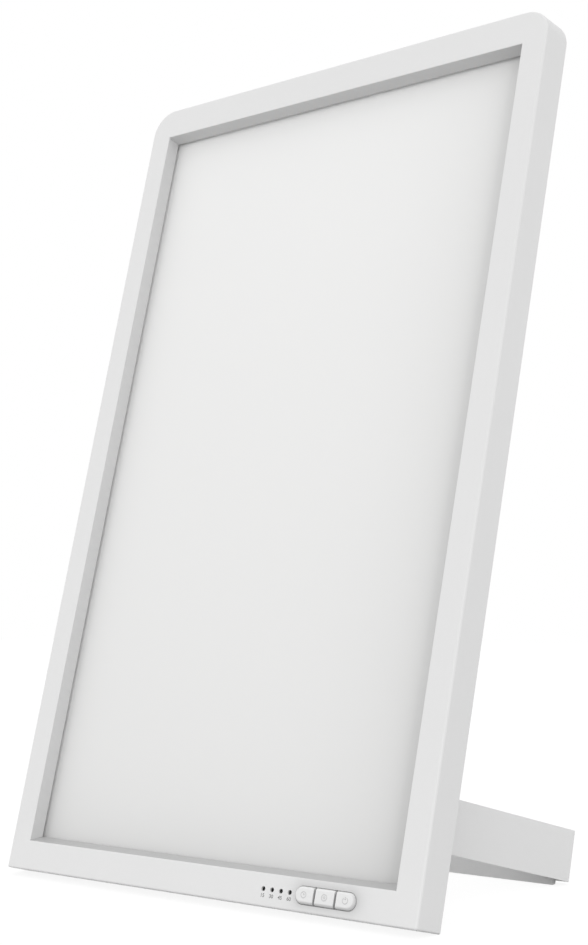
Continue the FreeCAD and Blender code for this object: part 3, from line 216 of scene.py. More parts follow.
def math_node(tree, operation, first, second):
    """Two sockets or numbers joined by a Math node."""
    node = tree.nodes.new("ShaderNodeMath")
    node.operation = operation
    for socket, value in zip(node.inputs, (first, second)):
        if isinstance(value, (int, float)):
            socket.default_value = value
        else:
            tree.links.new(value, socket)
    return node.outputs["Value"]


def product(tree, first, second):
    return math_node(tree, "MULTIPLY", first, second)


def total(tree, first, second):
    return math_node(tree, "ADD", first, second)


def less(tree, first, second):
    return math_node(tree, "SUBTRACT", first, second)


def larger(tree, first, second):
    return math_node(tree, "MAXIMUM", first, second)


def smooth_step(tree, value, start, end, low=0.0, high=1.0):
    """Runs smoothly from low to high while the value goes from start up to end."""
    node = tree.nodes.new("ShaderNodeMapRange")
    node.interpolation_type = "SMOOTHSTEP"
    node.inputs["From Min"].default_value = start
    node.inputs["From Max"].default_value = end
    node.inputs["To Min"].default_value = low
    node.inputs["To Max"].default_value = high
    tree.links.new(value, node.inputs["Value"])
    return node.outputs["Result"]


def panel_place(tree, coordinates):
    """Distance across, depth and height on the leaned panel, in millimetres."""
    mapping = tree.nodes.new("ShaderNodeMapping")
    mapping.vector_type = "TEXTURE"
    mapping.inputs["Location"].default_value = (0.0, EDGE_Y, EDGE_Z)
    mapping.inputs["Rotation"].default_value = (-LEAN, 0.0, 0.0)
    mapping.inputs["Scale"].default_value = (MM, MM, MM)
    tree.links.new(coordinates, mapping.inputs["Vector"])
    parts = tree.nodes.new("ShaderNodeSeparateXYZ")
    tree.links.new(mapping.outputs["Vector"], parts.inputs["Vector"])
    return parts.outputs["X"], parts.outputs["Y"], parts.outputs["Z"]


def faded(tree, value, edge, reach, amount):
    """1 + amount at an edge, fading to 1 away from it; a negative reach fades downwards."""
    away = math_node(tree, "DIVIDE", less(tree, edge, value), reach)
    fade = math_node(tree, "EXPONENT", math_node(tree, "MINIMUM", away, 0.0), 0.0)
    return total(tree, product(tree, fade, amount), 1.0)


def toned(tree, shader, tone):
    """Multiply the shader's base colour by painted light and shade that change from place to
    place.
    """
    colour = shader.inputs["Base Color"].links[0].from_socket
    tinted = tree.nodes.new("ShaderNodeVectorMath")
    tinted.operation = "MULTIPLY"
    tree.links.new(colour, tinted.inputs[0])
    tree.links.new(tone, tinted.inputs[1])
    tree.links.new(tinted.outputs["Vector"], shader.inputs["Base Color"])


def stretched(tree, coordinates, scale):
    """The coordinates scaled along X, Y and Z, for a directional texture."""
    mapping = tree.nodes.new("ShaderNodeMapping")
    mapping.inputs["Scale"].default_value = scale
    tree.links.new(coordinates, mapping.inputs["Vector"])
    return mapping.outputs["Vector"]


def noise(tree, coordinates, scale, detail=3.0, roughness=0.55):
    texture = tree.nodes.new("ShaderNodeTexNoise")
    texture.inputs["Scale"].default_value = scale
    texture.inputs["Detail"].default_value = detail
    texture.inputs["Roughness"].default_value = roughness
    tree.links.new(coordinates, texture.inputs["Vector"])
    return texture.outputs["Fac"]


def ramp(tree, value, low, high, start=0.3, end=0.7):
    """A value between start and end, turned into a colour between low and high."""
    node = tree.nodes.new("ShaderNodeValToRGB")
    node.color_ramp.elements[0].position = start
    node.color_ramp.elements[0].color = (*low, 1.0)
    node.color_ramp.elements[1].position = end
    node.color_ramp.elements[1].color = (*high, 1.0)
    tree.links.new(value, node.inputs["Fac"])
    return node.outputs["Color"]


def shade(colour, factor):
    return tuple(min(1.0, channel * factor) for channel in colour)


def mottled(tree, shader, coordinates, colour, spread, scale):
    """Base colour that drifts a little either side of the given one."""
    drift = ramp(tree, noise(tree, coordinates, scale), shade(colour, 1 - spread),
                 shade(colour, 1 + spread))
    tree.links.new(drift, shader.inputs["Base Color"])


def uneven_gloss(tree, shader, coordinates, low, high, scale):
    spread = tree.nodes.new("ShaderNodeMapRange")
    spread.inputs["From Min"].default_value = 0.3
    spread.inputs["From Max"].default_value = 0.7
    spread.inputs["To Min"].default_value = low
    spread.inputs["To Max"].default_value = high
    tree.links.new(noise(tree, coordinates, scale), spread.inputs["Value"])
    tree.links.new(spread.outputs["Result"], shader.inputs["Roughness"])


def grained(tree, shader, height, strength, distance):
    """Fine surface relief from a height value."""
    bump = tree.nodes.new("ShaderNodeBump")
    bump.inputs["Strength"].default_value = strength
    bump.inputs["Distance"].default_value = distance
    tree.links.new(height, bump.inputs["Height"])
    tree.links.new(bump.outputs["Normal"], shader.inputs["Normal"])


def moulded_plastic(name, colour, roughness=0.42, grain=0.10, specular=0.4):
    """Satin moulded plastic with a fine spark-eroded grain."""
    material, tree, shader, place = new_finish(name, roughness, specular=specular)
    mottled(tree, shader, place, colour, 0.006, 9.0)
    uneven_gloss(tree, shader, place, roughness - 0.03, roughness + 0.03, 60.0)
    grained(tree, shader, noise(tree, place, 2600.0, 2.0), grain, 0.03 * MM)
    return material


def wall_painted_shade(tree, across, depth, height):
    """Painted shade on the walls of the opening, most of all on the sill under the diffuser."""
    near, far = 0.1, 0.3
    aside = math_node(tree, "ABSOLUTE", across, 0.0)
    opening = smooth_step(tree, aside, OPENING_SIDE + near, OPENING_SIDE + far, 1.0, 0.0)
    above = smooth_step(tree, height, OPENING_FOOT - far, OPENING_FOOT - near)
    below = smooth_step(tree, height, OPENING_HEAD + near, OPENING_HEAD + far, 1.0, 0.0)
    behind = smooth_step(tree, depth, 0.05, 0.45)
    wall = product(tree, product(tree, opening, behind), product(tree, above, below))
    head = smooth_step(tree, height, OPENING_HEAD - 1.0, OPENING_HEAD - 0.5)
    slope = total(tree, product(tree, depth, SILL_SLOPE), OPENING_FOOT)
    sill = smooth_step(tree, less(tree, height, slope), 0.1, 0.4, 1.0, 0.0)
    drop = total(tree, WALL_PAINTED_SHADE, product(tree, head, HEAD_PAINTED_SHADE))
    drop = total(tree, drop, product(tree, sill, SILL_PAINTED_SHADE))
    return less(tree, 1.0, product(tree, drop, wall))


def face_painted_light_and_shade(tree, across, depth, height):
    """Paints shade on the frame's outer sides and top, and paints light that evens out its face.
    """
    near, far = 2.0, 6.0
    drift = total(tree, product(tree, across, ACROSS_LIGHT_DRIFT), product(tree, height, UPWARD_LIGHT_DRIFT))
    level = smooth_step(tree, height, 12.0, 32.0, LOWER_LIGHT_LEVEL, UPPER_LIGHT_LEVEL)
    drift = total(tree, drift, level)
    aside = math_node(tree, "ABSOLUTE", across, 0.0)
    beside = smooth_step(tree, aside, OPENING_SIDE + near, OPENING_SIDE + far)
    over = smooth_step(tree, height, OPENING_HEAD + near, OPENING_HEAD + far)
    behind = smooth_step(tree, depth, 0.3, 1.5)
    outer = larger(tree, product(tree, beside, SIDE_PAINTED_SHADE), product(tree, over, TOP_PAINTED_SHADE))
    return product(tree, drift, less(tree, 1.0, product(tree, outer, behind)))


def from_key_row(tree, across, height, right, up):
    """Distance from the long axis of the row of keys, moved a little right and up."""
    aside = math_node(tree, "ABSOLUTE",
                      less(tree, across, KEY_CENTRES["middle"] + right), 0.0)
    past = larger(tree, less(tree, aside, KEY_ROW_HALF - KEY_END_RADIUS), 0.0)
    above = less(tree, height, KEY_AXIS_HEIGHT + up)
    square = total(tree, math_node(tree, "POWER", past, 2.0), product(tree, above, above))
    return math_node(tree, "SQRT", square, 0.0)


def key_surround_painted_shade(tree, across, depth, height):
    """Painted soft shade on the front face around the row of keys, more above and to the right.
    """
    away = from_key_row(tree, across, height, 0.5, 0.6)
    shadow = less(tree, faded(tree, away, KEY_END_RADIUS, KEY_SHADE_REACH, KEY_SHADE), 1.0)
    face = smooth_step(tree, depth, 0.05, 0.35, 1.0, 0.0)
    return less(tree, 1.0, product(tree, shadow, face))


def key_rim_painted_shade(tree, across, depth, height):
    """Painted shade on the rims of the keys and the walls between them, but not their upper
    walls.
    """
    rim = smooth_step(tree, from_key_row(tree, across, height, -0.3, 0.5), 3.1, 4.3)
    wall = smooth_step(tree, depth, KEY_FACE + 0.15, KEY_FACE + 0.75)
    top = smooth_step(tree, height, KEY_AXIS_HEIGHT + 2.4, KEY_AXIS_HEIGHT + 3.7)
    edge = less(tree, larger(tree, rim, wall), product(tree, wall, top))
    return less(tree, 1.0, product(tree, edge, KEY_RIM_PAINTED_SHADE))


def toned_plastic(name, colour, tone, roughness=0.42, grain=0.10):
    """Moulded plastic with painted light and shade that depend on the place on the panel."""
    material = moulded_plastic(name, colour, roughness, grain)
    tree = material.node_tree
    place = panel_place(tree, tree.nodes["Texture Coordinate"].outputs["Object"])
    toned(tree, tree.nodes["Principled BSDF"], tone(tree, *place))
    return material


def key_plastic(name, colour):
    """Moulded plastic with painted shade on the rims of the keys."""
    return toned_plastic(name, colour, key_rim_painted_shade, 0.36, 0.06)


def frame_plastic(name, colour):
    """Moulded plastic with painted shade on the walls of the opening and around the keys, and
    painted light and shade over its face.
    """
    def tone(tree, *place):
        inner = product(tree, wall_painted_shade(tree, *place), key_surround_painted_shade(tree, *place))
        return product(tree, inner, face_painted_light_and_shade(tree, *place))

    return toned_plastic(name, colour, tone)


def foot_plastic(name, colour):
    """Moulded plastic, painted lighter, with painted shade towards the ends of the foot bar."""
    def tone(tree, across, depth, height):
        aside = math_node(tree, "ABSOLUTE", across, 0.0)
        return faded(tree, aside, FOOT_END, -FOOT_REACH, -FOOT_END_PAINTED_SHADE)

    return toned_plastic(name, shade(colour, FOOT_PAINTED_LIGHT), tone, 0.46, 0.15)


def powder_coat(name, colour):
    """Paint with the slight orange peel of a powder coat."""
    material, tree, shader, place = new_finish(name, 0.38, specular=0.4)
    mottled(tree, shader, place, colour, 0.006, 12.0)
    uneven_gloss(tree, shader, place, 0.34, 0.42, 90.0)
    grained(tree, shader, noise(tree, place, 900.0, 1.0, 0.4), 0.12, 0.04 * MM)
    return material


def satin_acrylic(name, colour):
    """The diffuser: a white translucent sheet with painted shade and light towards its edges and
    painted light rising towards its top.
    """
    material, tree, shader, place = new_finish(name, 0.36, specular=0.35)
    mottled(tree, shader, place, colour, 0.003, 5.0)
    across, depth, height = panel_place(tree, place)
    tone = total(tree, product(tree, height, DIFFUSER_LIGHT_RISE), DIFFUSER_LEVEL)
    for axis, edge, reach, amount in DIFFUSER_PAINTED_SHADING:
        value = across if axis == "across" else height
        tone = product(tree, tone, faded(tree, value, edge, reach, amount))
    toned(tree, shader, tone)
    uneven_gloss(tree, shader, place, 0.33, 0.39, 30.0)
    grained(tree, shader, noise(tree, place, 3200.0, 1.0), 0.05, 0.02 * MM)
    return material


def dotted_guide(name):
    """Clear acrylic printed behind with a grid of white dots."""
    material, tree, shader, place = new_finish(name, 0.12, specular=0.5)
    dots = tree.nodes.new("ShaderNodeTexVoronoi")
    dots.inputs["Scale"].default_value = 420.0
    dots.inputs["Randomness"].default_value = 0.0
    tree.links.new(place, dots.inputs["Vector"])
    colour = ramp(tree, dots.outputs["Distance"], (0.90, 0.92, 0.93), (0.70, 0.76, 0.78),
                  0.30, 0.36)
    tree.links.new(colour, shader.inputs["Base Color"])
    return material


def brushed_metal(name, colour, scale, roughness=0.32):
    """Bare metal drawn or rolled along one direction."""
    material, tree, shader, place = new_finish(name, roughness, metallic=1.0)
    streaks = noise(tree, stretched(tree, place, scale), 1.0, 4.0)
    tree.links.new(ramp(tree, streaks, shade(colour, 0.92), shade(colour, 1.05)),
                   shader.inputs["Base Color"])
    grained(tree, shader, streaks, 0.10, 0.02 * MM)
    return material


def plated_steel(name):
    """Zinc plate with a slightly uneven sheen."""
    material, tree, shader, place = new_finish(name, 0.28, metallic=1.0)
    mottled(tree, shader, place, (0.62, 0.62, 0.60), 0.05, 700.0)
    uneven_gloss(tree, shader, place, 0.22, 0.36, 500.0)
    grained(tree, shader, noise(tree, place, 3000.0, 2.0), 0.08, 0.02 * MM)
    return material


def circuit_board(name, colour, scale=210.0):
    """Solder mask over a maze of copper tracks."""
    material, tree, shader, place = new_finish(name, 0.30, specular=0.5)
    maze = tree.nodes.new("ShaderNodeTexBrick")
    maze.inputs["Scale"].default_value = scale
    maze.inputs["Mortar Size"].default_value = 0.06
    maze.inputs["Color1"].default_value = (*colour, 1.0)
    maze.inputs["Color2"].default_value = (*shade(colour, 0.82), 1.0)
    maze.inputs["Mortar"].default_value = (*shade(colour, 1.7), 1.0)
    turned = tree.nodes.new("ShaderNodeMapping")
    turned.inputs["Rotation"].default_value = (math.pi / 2, 0.0, 0.0)
    tree.links.new(place, turned.inputs["Vector"])
    tree.links.new(turned.outputs["Vector"], maze.inputs["Vector"])
    tree.links.new(maze.outputs["Color"], shader.inputs["Base Color"])
    grained(tree, shader, maze.outputs["Fac"], 0.15, 0.03 * MM)
    return material


def soft_rubber(name, colour, scale=1500.0, strength=0.25):
    """Matt rubber, foam or cable cover with a dusty surface."""
    material, tree, shader, place = new_finish(name, 0.78, specular=0.3)
    mottled(tree, shader, place, colour, 0.05, 300.0)
    uneven_gloss(tree, shader, place, 0.70, 0.86, 240.0)
    grained(tree, shader, noise(tree, place, scale, 3.0), strength, 0.05 * MM)
    return material


def smoked_glass(name, colour):
    """Near-black gloss plastic."""
    material, tree, shader, place = new_finish(name, 0.30, specular=0.25)
    mottled(tree, shader, place, colour, 0.15, 500.0)
    uneven_gloss(tree, shader, place, 0.26, 0.36, 400.0)
    return material


def phosphor(name):
    """A diode's yellow phosphor behind clear resin."""
    material, tree, shader, place = new_finish(name, 0.25, coat=0.5)
    mottled(tree, shader, place, (0.80, 0.66, 0.22), 0.10, 900.0)
    uneven_gloss(tree, shader, place, 0.20, 0.32, 800.0)
    return material


def printed_ink(name, colour):
    material, tree, shader, place = new_finish(name, 0.55, specular=0.3)
    mottled(tree, shader, place, colour, 0.06, 2500.0)
    uneven_gloss(tree, shader, place, 0.50, 0.62, 1500.0)
    return material


def dress(node, material):
    """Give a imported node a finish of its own."""
    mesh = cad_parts[node].data
    mesh.materials.clear()
    mesh.materials.append(material)


# ---------------------------------------------------------------- making pieces

def on_panel(across, depth, upward):
    """A place measured from the panel's middle, front face and lower edge, in millimetres."""
    return Vector((across * MM,
                   (depth * math.cos(LEAN) + upward * math.sin(LEAN)) * MM + EDGE_Y,
                   (upward * math.cos(LEAN) - depth * math.sin(LEAN)) * MM + EDGE_Z))


def panel_matrix(across, depth, upward):
    """Local X across, local Y up the panel, local Z out of its front, at a place on it."""
    right = Vector((1.0, 0.0, 0.0))
    up = Vector((0.0, math.sin(LEAN), math.cos(LEAN)))
    out = right.cross(up)
    turn = Matrix((right, up, out)).transposed().to_4x4()
    return Matrix.Translation(on_panel(across, depth, upward)) @ turn


def new_piece(name, mesh, body, material):
    """Link a mesh as a piece that rides on a body."""
    piece = bpy.data.objects.new(name, mesh)
    bpy.context.scene.collection.objects.link(piece)
    mesh.materials.clear()
    mesh.materials.append(material)
    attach(piece, body)
    return piece


def raised_line(shape, points, closed, width, rise):
    """A line with a rounded top that stands on the local XY plane."""
    steps = 7
    count = len(points)
    rings = []
    for i, point in enumerate(points):
        before = points[i - 1] if closed or i > 0 else point
        after = points[(i + 1) % count] if closed or i < count - 1 else point
        along = (Vector(after) - Vector(before)).normalized()
        side = Vector((along.y, -along.x, 0.0))
        ring = []
        for k in range(steps):
            angle = math.pi * k / (steps - 1)
            offset = side * (math.cos(angle) * width / 2)
            height = math.sin(angle) * rise
            ring.append(shape.verts.new((point[0] + offset.x, point[1] + offset.y, height)))
        for sign in (-1.0, 1.0):
            root = side * (sign * width / 2)
            ring.append(shape.verts.new((point[0] + root.x, point[1] + root.y, SIGN_ROOT * MM)))
        rings.append(ring)
    spans = count if closed else count - 1
    for i in range(spans):
        one, two = rings[i], rings[(i + 1) % count]
        for k in range(len(one)):
            following = (k + 1) % len(one)
            shape.faces.new((one[k], one[following], two[following], two[k]))
    if not closed:
        shape.faces.new(rings[0])
        shape.faces.new(list(reversed(rings[-1])))


def arc_points(radius, start, end, count):
    """Points on an arc, from start to end in degrees."""
    angles = [math.radians(start + (end - start) * i / (count - 1)) for i in range(count)]
    return [(radius * math.cos(a), radius * math.sin(a), 0.0) for a in angles]


def full_circle(radius, count=40):
    return arc_points(radius, 0.0, 360.0 - 360.0 / count, count)


def finished_mesh(shape, name, matrix):
    """Turn a bmesh into a smooth closed mesh in its place."""
    bmesh.ops.remove_doubles(shape, verts=shape.verts, dist=1e-7)
    bmesh.ops.recalc_face_normals(shape, faces=shape.faces)
    bmesh.ops.transform(shape, matrix=matrix, verts=shape.verts)
    mesh = bpy.data.meshes.new(name)
    shape.to_mesh(mesh)
    shape.free()
    for polygon in mesh.polygons:
        polygon.use_smooth = True
    return mesh


# ---------------------------------------------------------------- operators

class LAMP_OT_shell(bpy.types.Operator):
    """Finish the moulded frame and the rear cover"""

    bl_idname = "lamp.shell"
    bl_label = "Frame and rear cover"

    def execute(self, context):
        colours = context.scene.lamp_colours
        dress("front_frame", frame_plastic("frame_plastic", tuple(colours.shell)))
        dress("rear_cover", moulded_plastic("cover_plastic", tuple(colours.shell), 0.48, 0.2))
        return {"FINISHED"}


class LAMP_OT_light(bpy.types.Operator):
    """Finish the diffuser, the light guide behind it and the strips of diodes"""

    bl_idname = "lamp.light"
    bl_label = "Diffuser and light strips"

    def execute(self, context):
        colours = context.scene.lamp_colours
        dress("diffuser_plate", satin_acrylic("diffuser_acrylic", tuple(colours.diffuser)))
        dress("light_guide", dotted_guide("guide_acrylic"))
        dress("reflector_sheet", moulded_plastic("reflector_film", (0.92, 0.92, 0.92), 0.6, 0.05))
        dress("diffuser_gasket", soft_rubber("gasket_foam", (0.78, 0.78, 0.78), 1800.0, 0.5))
        rail = brushed_metal("rail_aluminium", (0.80, 0.80, 0.81), (3000.0, 3000.0, 60.0))
        strip = brushed_metal("strip_aluminium", (0.86, 0.86, 0.84), (2000.0, 2000.0, 90.0), 0.45)
        yellow = phosphor("diode_phosphor")
        for side in ("left", "right"):
            dress("heat_rail_" + side, rail)
            dress("light_strip_" + side, strip)
            dress("strip_diodes_" + side, yellow)
        return {"FINISHED"}


class LAMP_OT_keys(bpy.types.Operator):
    """Finish the three keys and raise a plain sign on each cap"""

    bl_idname = "lamp.keys"
    bl_label = "Keys and their signs"

    def sign(self, which, radius, line, rise):
        """A clock, a ring in a ring, or an open ring with a bar."""
        shape = bmesh.new()
        thin = line * THIN_LINE
        if which == "left":
            raised_line(shape, full_circle(radius), True, line, rise)
            hands = [(0.0, radius * HAND_UP, 0.0), (0.0, 0.0, 0.0),
                     (radius * HAND_RIGHT, 0.0, 0.0)]
            raised_line(shape, hands[:2], False, thin, rise)
            raised_line(shape, hands[1:], False, thin, rise)
        elif which == "middle":
            raised_line(shape, full_circle(radius), True, line, rise)
            raised_line(shape, full_circle(radius * INNER_RING, 24), True, thin, rise)
        else:
            raised_line(shape, arc_points(radius, *OPEN_RING, 40), False, line, rise)
            bar = [(0.0, radius * BAR_TOP, 0.0), (0.0, radius * BAR_FOOT, 0.0)]
            raised_line(shape, bar, False, line, rise)
        return shape

    def execute(self, context):
        colours = context.scene.lamp_colours
        sizes = context.scene.lamp_sizes
        cap = key_plastic("key_plastic", tuple(colours.keys))
        line = moulded_plastic("sign_plastic", shade(tuple(colours.keys), 0.78), 0.36, 0.06)
        pin = moulded_plastic("plunger_plastic", (0.03, 0.03, 0.03), 0.5)
        for which, across in KEY_CENTRES.items():
            dress("key_" + which, cap)
            dress("plunger_" + which, pin)
            shape = self.sign(which, sizes.sign_radius, sizes.sign_line, sizes.sign_rise)
            matrix = panel_matrix(across, KEY_FACE, KEY_AXIS_HEIGHT + SIGN_RAISE)
            mesh = finished_mesh(shape, "key_sign_" + which, matrix)
            new_piece("key_sign_" + which, mesh, "key_%s_unit" % which, line)
        return {"FINISHED"}


class LAMP_OT_windows(bpy.types.Operator):
    """Finish the indicator windows and print the minutes under them"""

    bl_idname = "lamp.windows"
    bl_label = "Windows and numbers"

    def execute(self, context):
        colours = context.scene.lamp_colours
        sizes = context.scene.lamp_sizes
        dress("indicator_lenses", smoked_glass("window_smoke", tuple(colours.windows)))
        dress("indicator_diodes", phosphor("indicator_phosphor"))
        ink = printed_ink("number_ink", tuple(colours.print_ink))
        for across, text in zip(WINDOW_CENTRES, MINUTES):
            curve = bpy.data.curves.new("number_" + text, "FONT")
            curve.body = text
            curve.align_x = "CENTER"
            curve.align_y = "CENTER"
            curve.size = sizes.number_height / CAPITAL_SHARE
            curve.offset = 0.05 * MM
            curve.extrude = 0.02 * MM
            letter = bpy.data.objects.new("letter_" + text, curve)
            bpy.context.scene.collection.objects.link(letter)
            mesh = bpy.data.meshes.new_from_object(
                letter.evaluated_get(context.evaluated_depsgraph_get()))
            bpy.data.objects.remove(letter)
            shape = bmesh.new()
            shape.from_mesh(mesh)
            bpy.data.meshes.remove(mesh)
            matrix = panel_matrix(across, PRINT_FACE, sizes.number_drop / MM)
            mesh = finished_mesh(shape, "minutes_" + text, matrix)
            for polygon in mesh.polygons:
                polygon.use_smooth = False
            new_piece("minutes_" + text, mesh, "panel", ink)
        return {"FINISHED"}


class LAMP_OT_controls(bpy.types.Operator):
    """Finish the board behind the keys"""

    bl_idname = "lamp.controls"
    bl_label = "Control board"

    def execute(self, context):
        dress("control_board", circuit_board("control_mask", (0.02, 0.11, 0.04), 400.0))
        dress("switch_bodies", moulded_plastic("switch_plastic", (0.02, 0.02, 0.02), 0.45))
        dress("control_header", moulded_plastic("header_black", (0.025, 0.025, 0.025), 0.5))
        dress("control_board_screws", plated_steel("control_screw_zinc"))
        return {"FINISHED"}


class LAMP_OT_driver(bpy.types.Operator):
    """Finish the driver board and what is soldered to it"""

    bl_idname = "lamp.driver"
    bl_label = "Driver board"

    def execute(self, context):
        dress("driver_board", circuit_board("driver_mask", (0.02, 0.11, 0.04), 240.0))
        dress("driver_board_screws", plated_steel("driver_screw_zinc"))
        dress("driver_coil", soft_rubber("coil_ferrite", (0.035, 0.035, 0.038), 900.0, 0.3))
        dress("driver_capacitors", moulded_plastic("capacitor_sleeve", (0.02, 0.03, 0.07), 0.3))
        dress("driver_chip", moulded_plastic("chip_epoxy", (0.015, 0.015, 0.015), 0.6, 0.3))
        dress("driver_headers", moulded_plastic("header_white", (0.75, 0.74, 0.70), 0.45))
        return {"FINISHED"}


class LAMP_OT_wiring(bpy.types.Operator):
    """Finish the ribbon and the leads"""

    bl_idname = "lamp.wiring"
    bl_label = "Wiring"

    def execute(self, context):
        cover = soft_rubber("lead_cover", (0.70, 0.70, 0.70), 2000.0, 0.1)
        for node in ("strip_lead_left", "strip_lead_right", "power_lead"):
            dress(node, cover)
        material, tree, shader, place = new_finish("ribbon_cover", 0.5)
        stripes = tree.nodes.new("ShaderNodeTexWave")
        stripes.bands_direction = "X"
        stripes.inputs["Scale"].default_value = 250.0
        tree.links.new(place, stripes.inputs["Vector"])
        colour = ramp(tree, stripes.outputs["Fac"], (0.42, 0.42, 0.44), (0.72, 0.72, 0.72),
                      0.1, 0.4)
        tree.links.new(colour, shader.inputs["Base Color"])
        grained(tree, shader, stripes.outputs["Fac"], 0.4, 0.1 * MM)
        dress("control_ribbon", material)
        return {"FINISHED"}


class LAMP_OT_inlet(bpy.types.Operator):
    """Finish the power inlet"""

    bl_idname = "lamp.inlet"
    bl_label = "Power inlet"

    def execute(self, context):
        dress("power_jack", moulded_plastic("jack_plastic", (0.02, 0.02, 0.02), 0.4))
        dress("jack_pin", brushed_metal("pin_brass", (0.78, 0.60, 0.28), (900.0, 90.0, 900.0)))
        dress("jack_nut", plated_steel("nut_zinc"))
        return {"FINISHED"}


class LAMP_OT_stand(bpy.types.Operator):
    """Finish the bent steel stand, its foot bar and its pads"""

    bl_idname = "lamp.stand"
    bl_label = "Stand"

    def execute(self, context):
        colours = context.scene.lamp_colours
        dress("stand_frame", powder_coat("stand_powder_coat", tuple(colours.steel)))
        dress("foot_bar", foot_plastic("foot_plastic", tuple(colours.shell)))
        dress("foot_pads", soft_rubber("pad_rubber", tuple(colours.foot_rubber)))
        return {"FINISHED"}


class LAMP_OT_hinges(bpy.types.Operator):
    """Finish the hinge bolts, nuts, washers and bushes"""

    bl_idname = "lamp.hinges"
    bl_label = "Hinges"

    def execute(self, context):
        colours = context.scene.lamp_colours
        dress("hinge_bolts", powder_coat("bolt_enamel", tuple(colours.steel)))
        dress("hinge_nuts", plated_steel("hinge_nut_zinc"))
        dress("hinge_washers", moulded_plastic("washer_acetal", (0.72, 0.72, 0.70), 0.5))
        dress("hinge_bushes", moulded_plastic("bush_acetal", (0.72, 0.72, 0.70), 0.45))
        return {"FINISHED"}


class LAMP_OT_screws(bpy.types.Operator):
    """Finish the screws of the rear cover and of the foot bar"""

    bl_idname = "lamp.screws"
    bl_label = "Screws"

    def execute(self, context):
        colours = context.scene.lamp_colours
        enamel = powder_coat("screw_enamel", shade(tuple(colours.steel), 0.96))
        dress("cover_screws", enamel)
        dress("foot_screws", enamel)
        return {"FINISHED"}


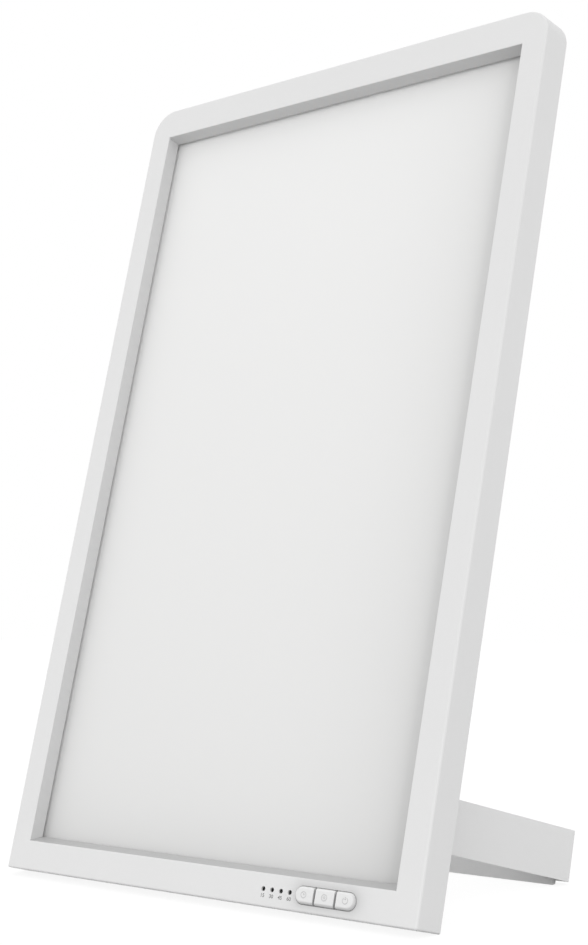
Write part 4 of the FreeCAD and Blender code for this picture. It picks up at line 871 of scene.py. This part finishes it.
class LAMP_OT_studio(bpy.types.Operator):
    """Set the floor, the lamps, the surrounding light and the camera"""

    bl_idname = "lamp.studio"
    bl_label = "Studio"

    def floor(self, lift):
        shape = bmesh.new()
        bmesh.ops.create_grid(shape, x_segments=4, y_segments=4, size=FLOOR_SIZE)
        mesh = bpy.data.meshes.new("studio_floor")
        shape.to_mesh(mesh)
        shape.free()
        floor = bpy.data.objects.new("studio_floor", mesh)
        bpy.context.scene.collection.objects.link(floor)
        material = bpy.data.materials.new("floor_paper")
        material.use_nodes = True
        tree = material.node_tree
        output = tree.nodes["Material Output"]
        paper = tree.nodes["Principled BSDF"]
        shown = tree.nodes.new("ShaderNodeBsdfPrincipled")
        for shader, grey in ((paper, FLOOR_GREY), (shown, FLOOR_SHOWN_GREY)):
            shader.inputs["Base Color"].default_value = (grey, grey, grey, 1.0)
            shader.inputs["Roughness"].default_value = 0.9
            shader.inputs["Specular IOR Level"].default_value = 0.0
        glow = tree.nodes.new("ShaderNodeEmission")
        glow.inputs["Color"].default_value = (1.0, 1.0, 1.0, 1.0)
        glow.inputs["Strength"].default_value = lift
        lifted = tree.nodes.new("ShaderNodeAddShader")
        tree.links.new(shown.outputs["BSDF"], lifted.inputs[0])
        tree.links.new(glow.outputs["Emission"], lifted.inputs[1])
        seen = self.seen_directly(tree)
        choice = tree.nodes.new("ShaderNodeMixShader")
        tree.links.new(seen, choice.inputs["Fac"])
        tree.links.new(paper.outputs["BSDF"], choice.inputs[1])
        tree.links.new(lifted.outputs["Shader"], choice.inputs[2])
        tree.links.new(choice.outputs["Shader"], output.inputs["Surface"])
        mesh.materials.append(material)

    def seen_directly(self, tree):
        """1 for what the camera sees directly, in gloss or through glass."""
        path = tree.nodes.new("ShaderNodeLightPath")
        seen = larger(tree, path.outputs["Is Camera Ray"], path.outputs["Is Glossy Ray"])
        return larger(tree, seen, path.outputs["Is Transmission Ray"])

    def surroundings(self, ambient):
        world = bpy.data.worlds.new("studio_light")
        bpy.context.scene.world = world
        world.use_nodes = True
        tree = world.node_tree
        tree.nodes.clear()
        output = tree.nodes.new("ShaderNodeOutputWorld")
        fill = tree.nodes.new("ShaderNodeBackground")
        fill.inputs["Color"].default_value = (1.0, 1.0, 1.0, 1.0)
        fill.inputs["Strength"].default_value = ambient
        backdrop = tree.nodes.new("ShaderNodeBackground")
        backdrop.inputs["Color"].default_value = (1.0, 1.0, 1.0, 1.0)
        backdrop.inputs["Strength"].default_value = 1.0
        choice = tree.nodes.new("ShaderNodeMixShader")
        tree.links.new(self.seen_directly(tree), choice.inputs["Fac"])
        tree.links.new(fill.outputs["Background"], choice.inputs[1])
        tree.links.new(backdrop.outputs["Background"], choice.inputs[2])
        tree.links.new(choice.outputs["Shader"], output.inputs["Surface"])

    def lamp(self, name, watts, place):
        light = bpy.data.lights.new(name, "AREA")
        light.shape = "SQUARE"
        light.size = LAMP_SIZE
        light.energy = watts
        holder = bpy.data.objects.new(name, light)
        bpy.context.scene.collection.objects.link(holder)
        holder.location = place
        aim = Vector(LAMP_AIM) - Vector(place)
        holder.rotation_euler = aim.to_track_quat("-Z", "Y").to_euler()

    def camera(self):
        data = bpy.data.cameras.new("studio_camera")
        data.sensor_width = 36.0
        data.lens = CAMERA_LENS
        data.shift_x, data.shift_y = CAMERA_SHIFT
        data.clip_start = 0.01
        holder = bpy.data.objects.new("studio_camera", data)
        bpy.context.scene.collection.objects.link(holder)
        holder.location = CAMERA_PLACE
        holder.rotation_euler = (math.radians(90.0 - CAMERA_DIP), 0.0, math.radians(CAMERA_TURN))
        bpy.context.scene.camera = holder

    def execute(self, context):
        studio = context.scene.lamp_studio
        self.floor(studio.floor_lift)
        self.surroundings(studio.ambient)
        self.lamp("front_lamp", studio.front, FRONT_LAMP_PLACE)
        self.lamp("rear_lamp", studio.rear, REAR_LAMP_PLACE)
        self.camera()
        context.scene.view_settings.view_transform = "Standard"
        return {"FINISHED"}


OPERATORS = (LAMP_OT_shell, LAMP_OT_light, LAMP_OT_keys, LAMP_OT_windows, LAMP_OT_controls,
             LAMP_OT_driver, LAMP_OT_wiring, LAMP_OT_inlet, LAMP_OT_stand, LAMP_OT_hinges,
             LAMP_OT_screws, LAMP_OT_studio)


class LAMP_PT_pieces(bpy.types.Panel):
    """Lists the lamp's pieces, colours and sizes"""

    bl_idname = "LAMP_PT_pieces"
    bl_label = "Light Therapy Lamp"
    bl_space_type = "VIEW_3D"
    bl_region_type = "UI"
    bl_category = "Lamp"

    def draw(self, context):
        layout = self.layout
        for group in (context.scene.lamp_colours, context.scene.lamp_sizes,
                      context.scene.lamp_studio):
            box = layout.box()
            for name in group.__annotations__:
                box.prop(group, name)
        for operator in OPERATORS:
            layout.operator(operator.bl_idname)


CLASSES = (LampColours, LampSizes, LampStudio) + OPERATORS + (LAMP_PT_pieces,)


def register():
    for item in CLASSES:
        bpy.utils.register_class(item)
    bpy.types.Scene.lamp_colours = PointerProperty(type=LampColours)
    bpy.types.Scene.lamp_sizes = PointerProperty(type=LampSizes)
    bpy.types.Scene.lamp_studio = PointerProperty(type=LampStudio)


def unregister():
    del bpy.types.Scene.lamp_studio
    del bpy.types.Scene.lamp_sizes
    del bpy.types.Scene.lamp_colours
    for item in reversed(CLASSES):
        bpy.utils.unregister_class(item)


def main():
    register()
    for operator in OPERATORS:
        family, name = operator.bl_idname.split(".")
        getattr(getattr(bpy.ops, family), name)()


if __name__ == "__main__":
    main()
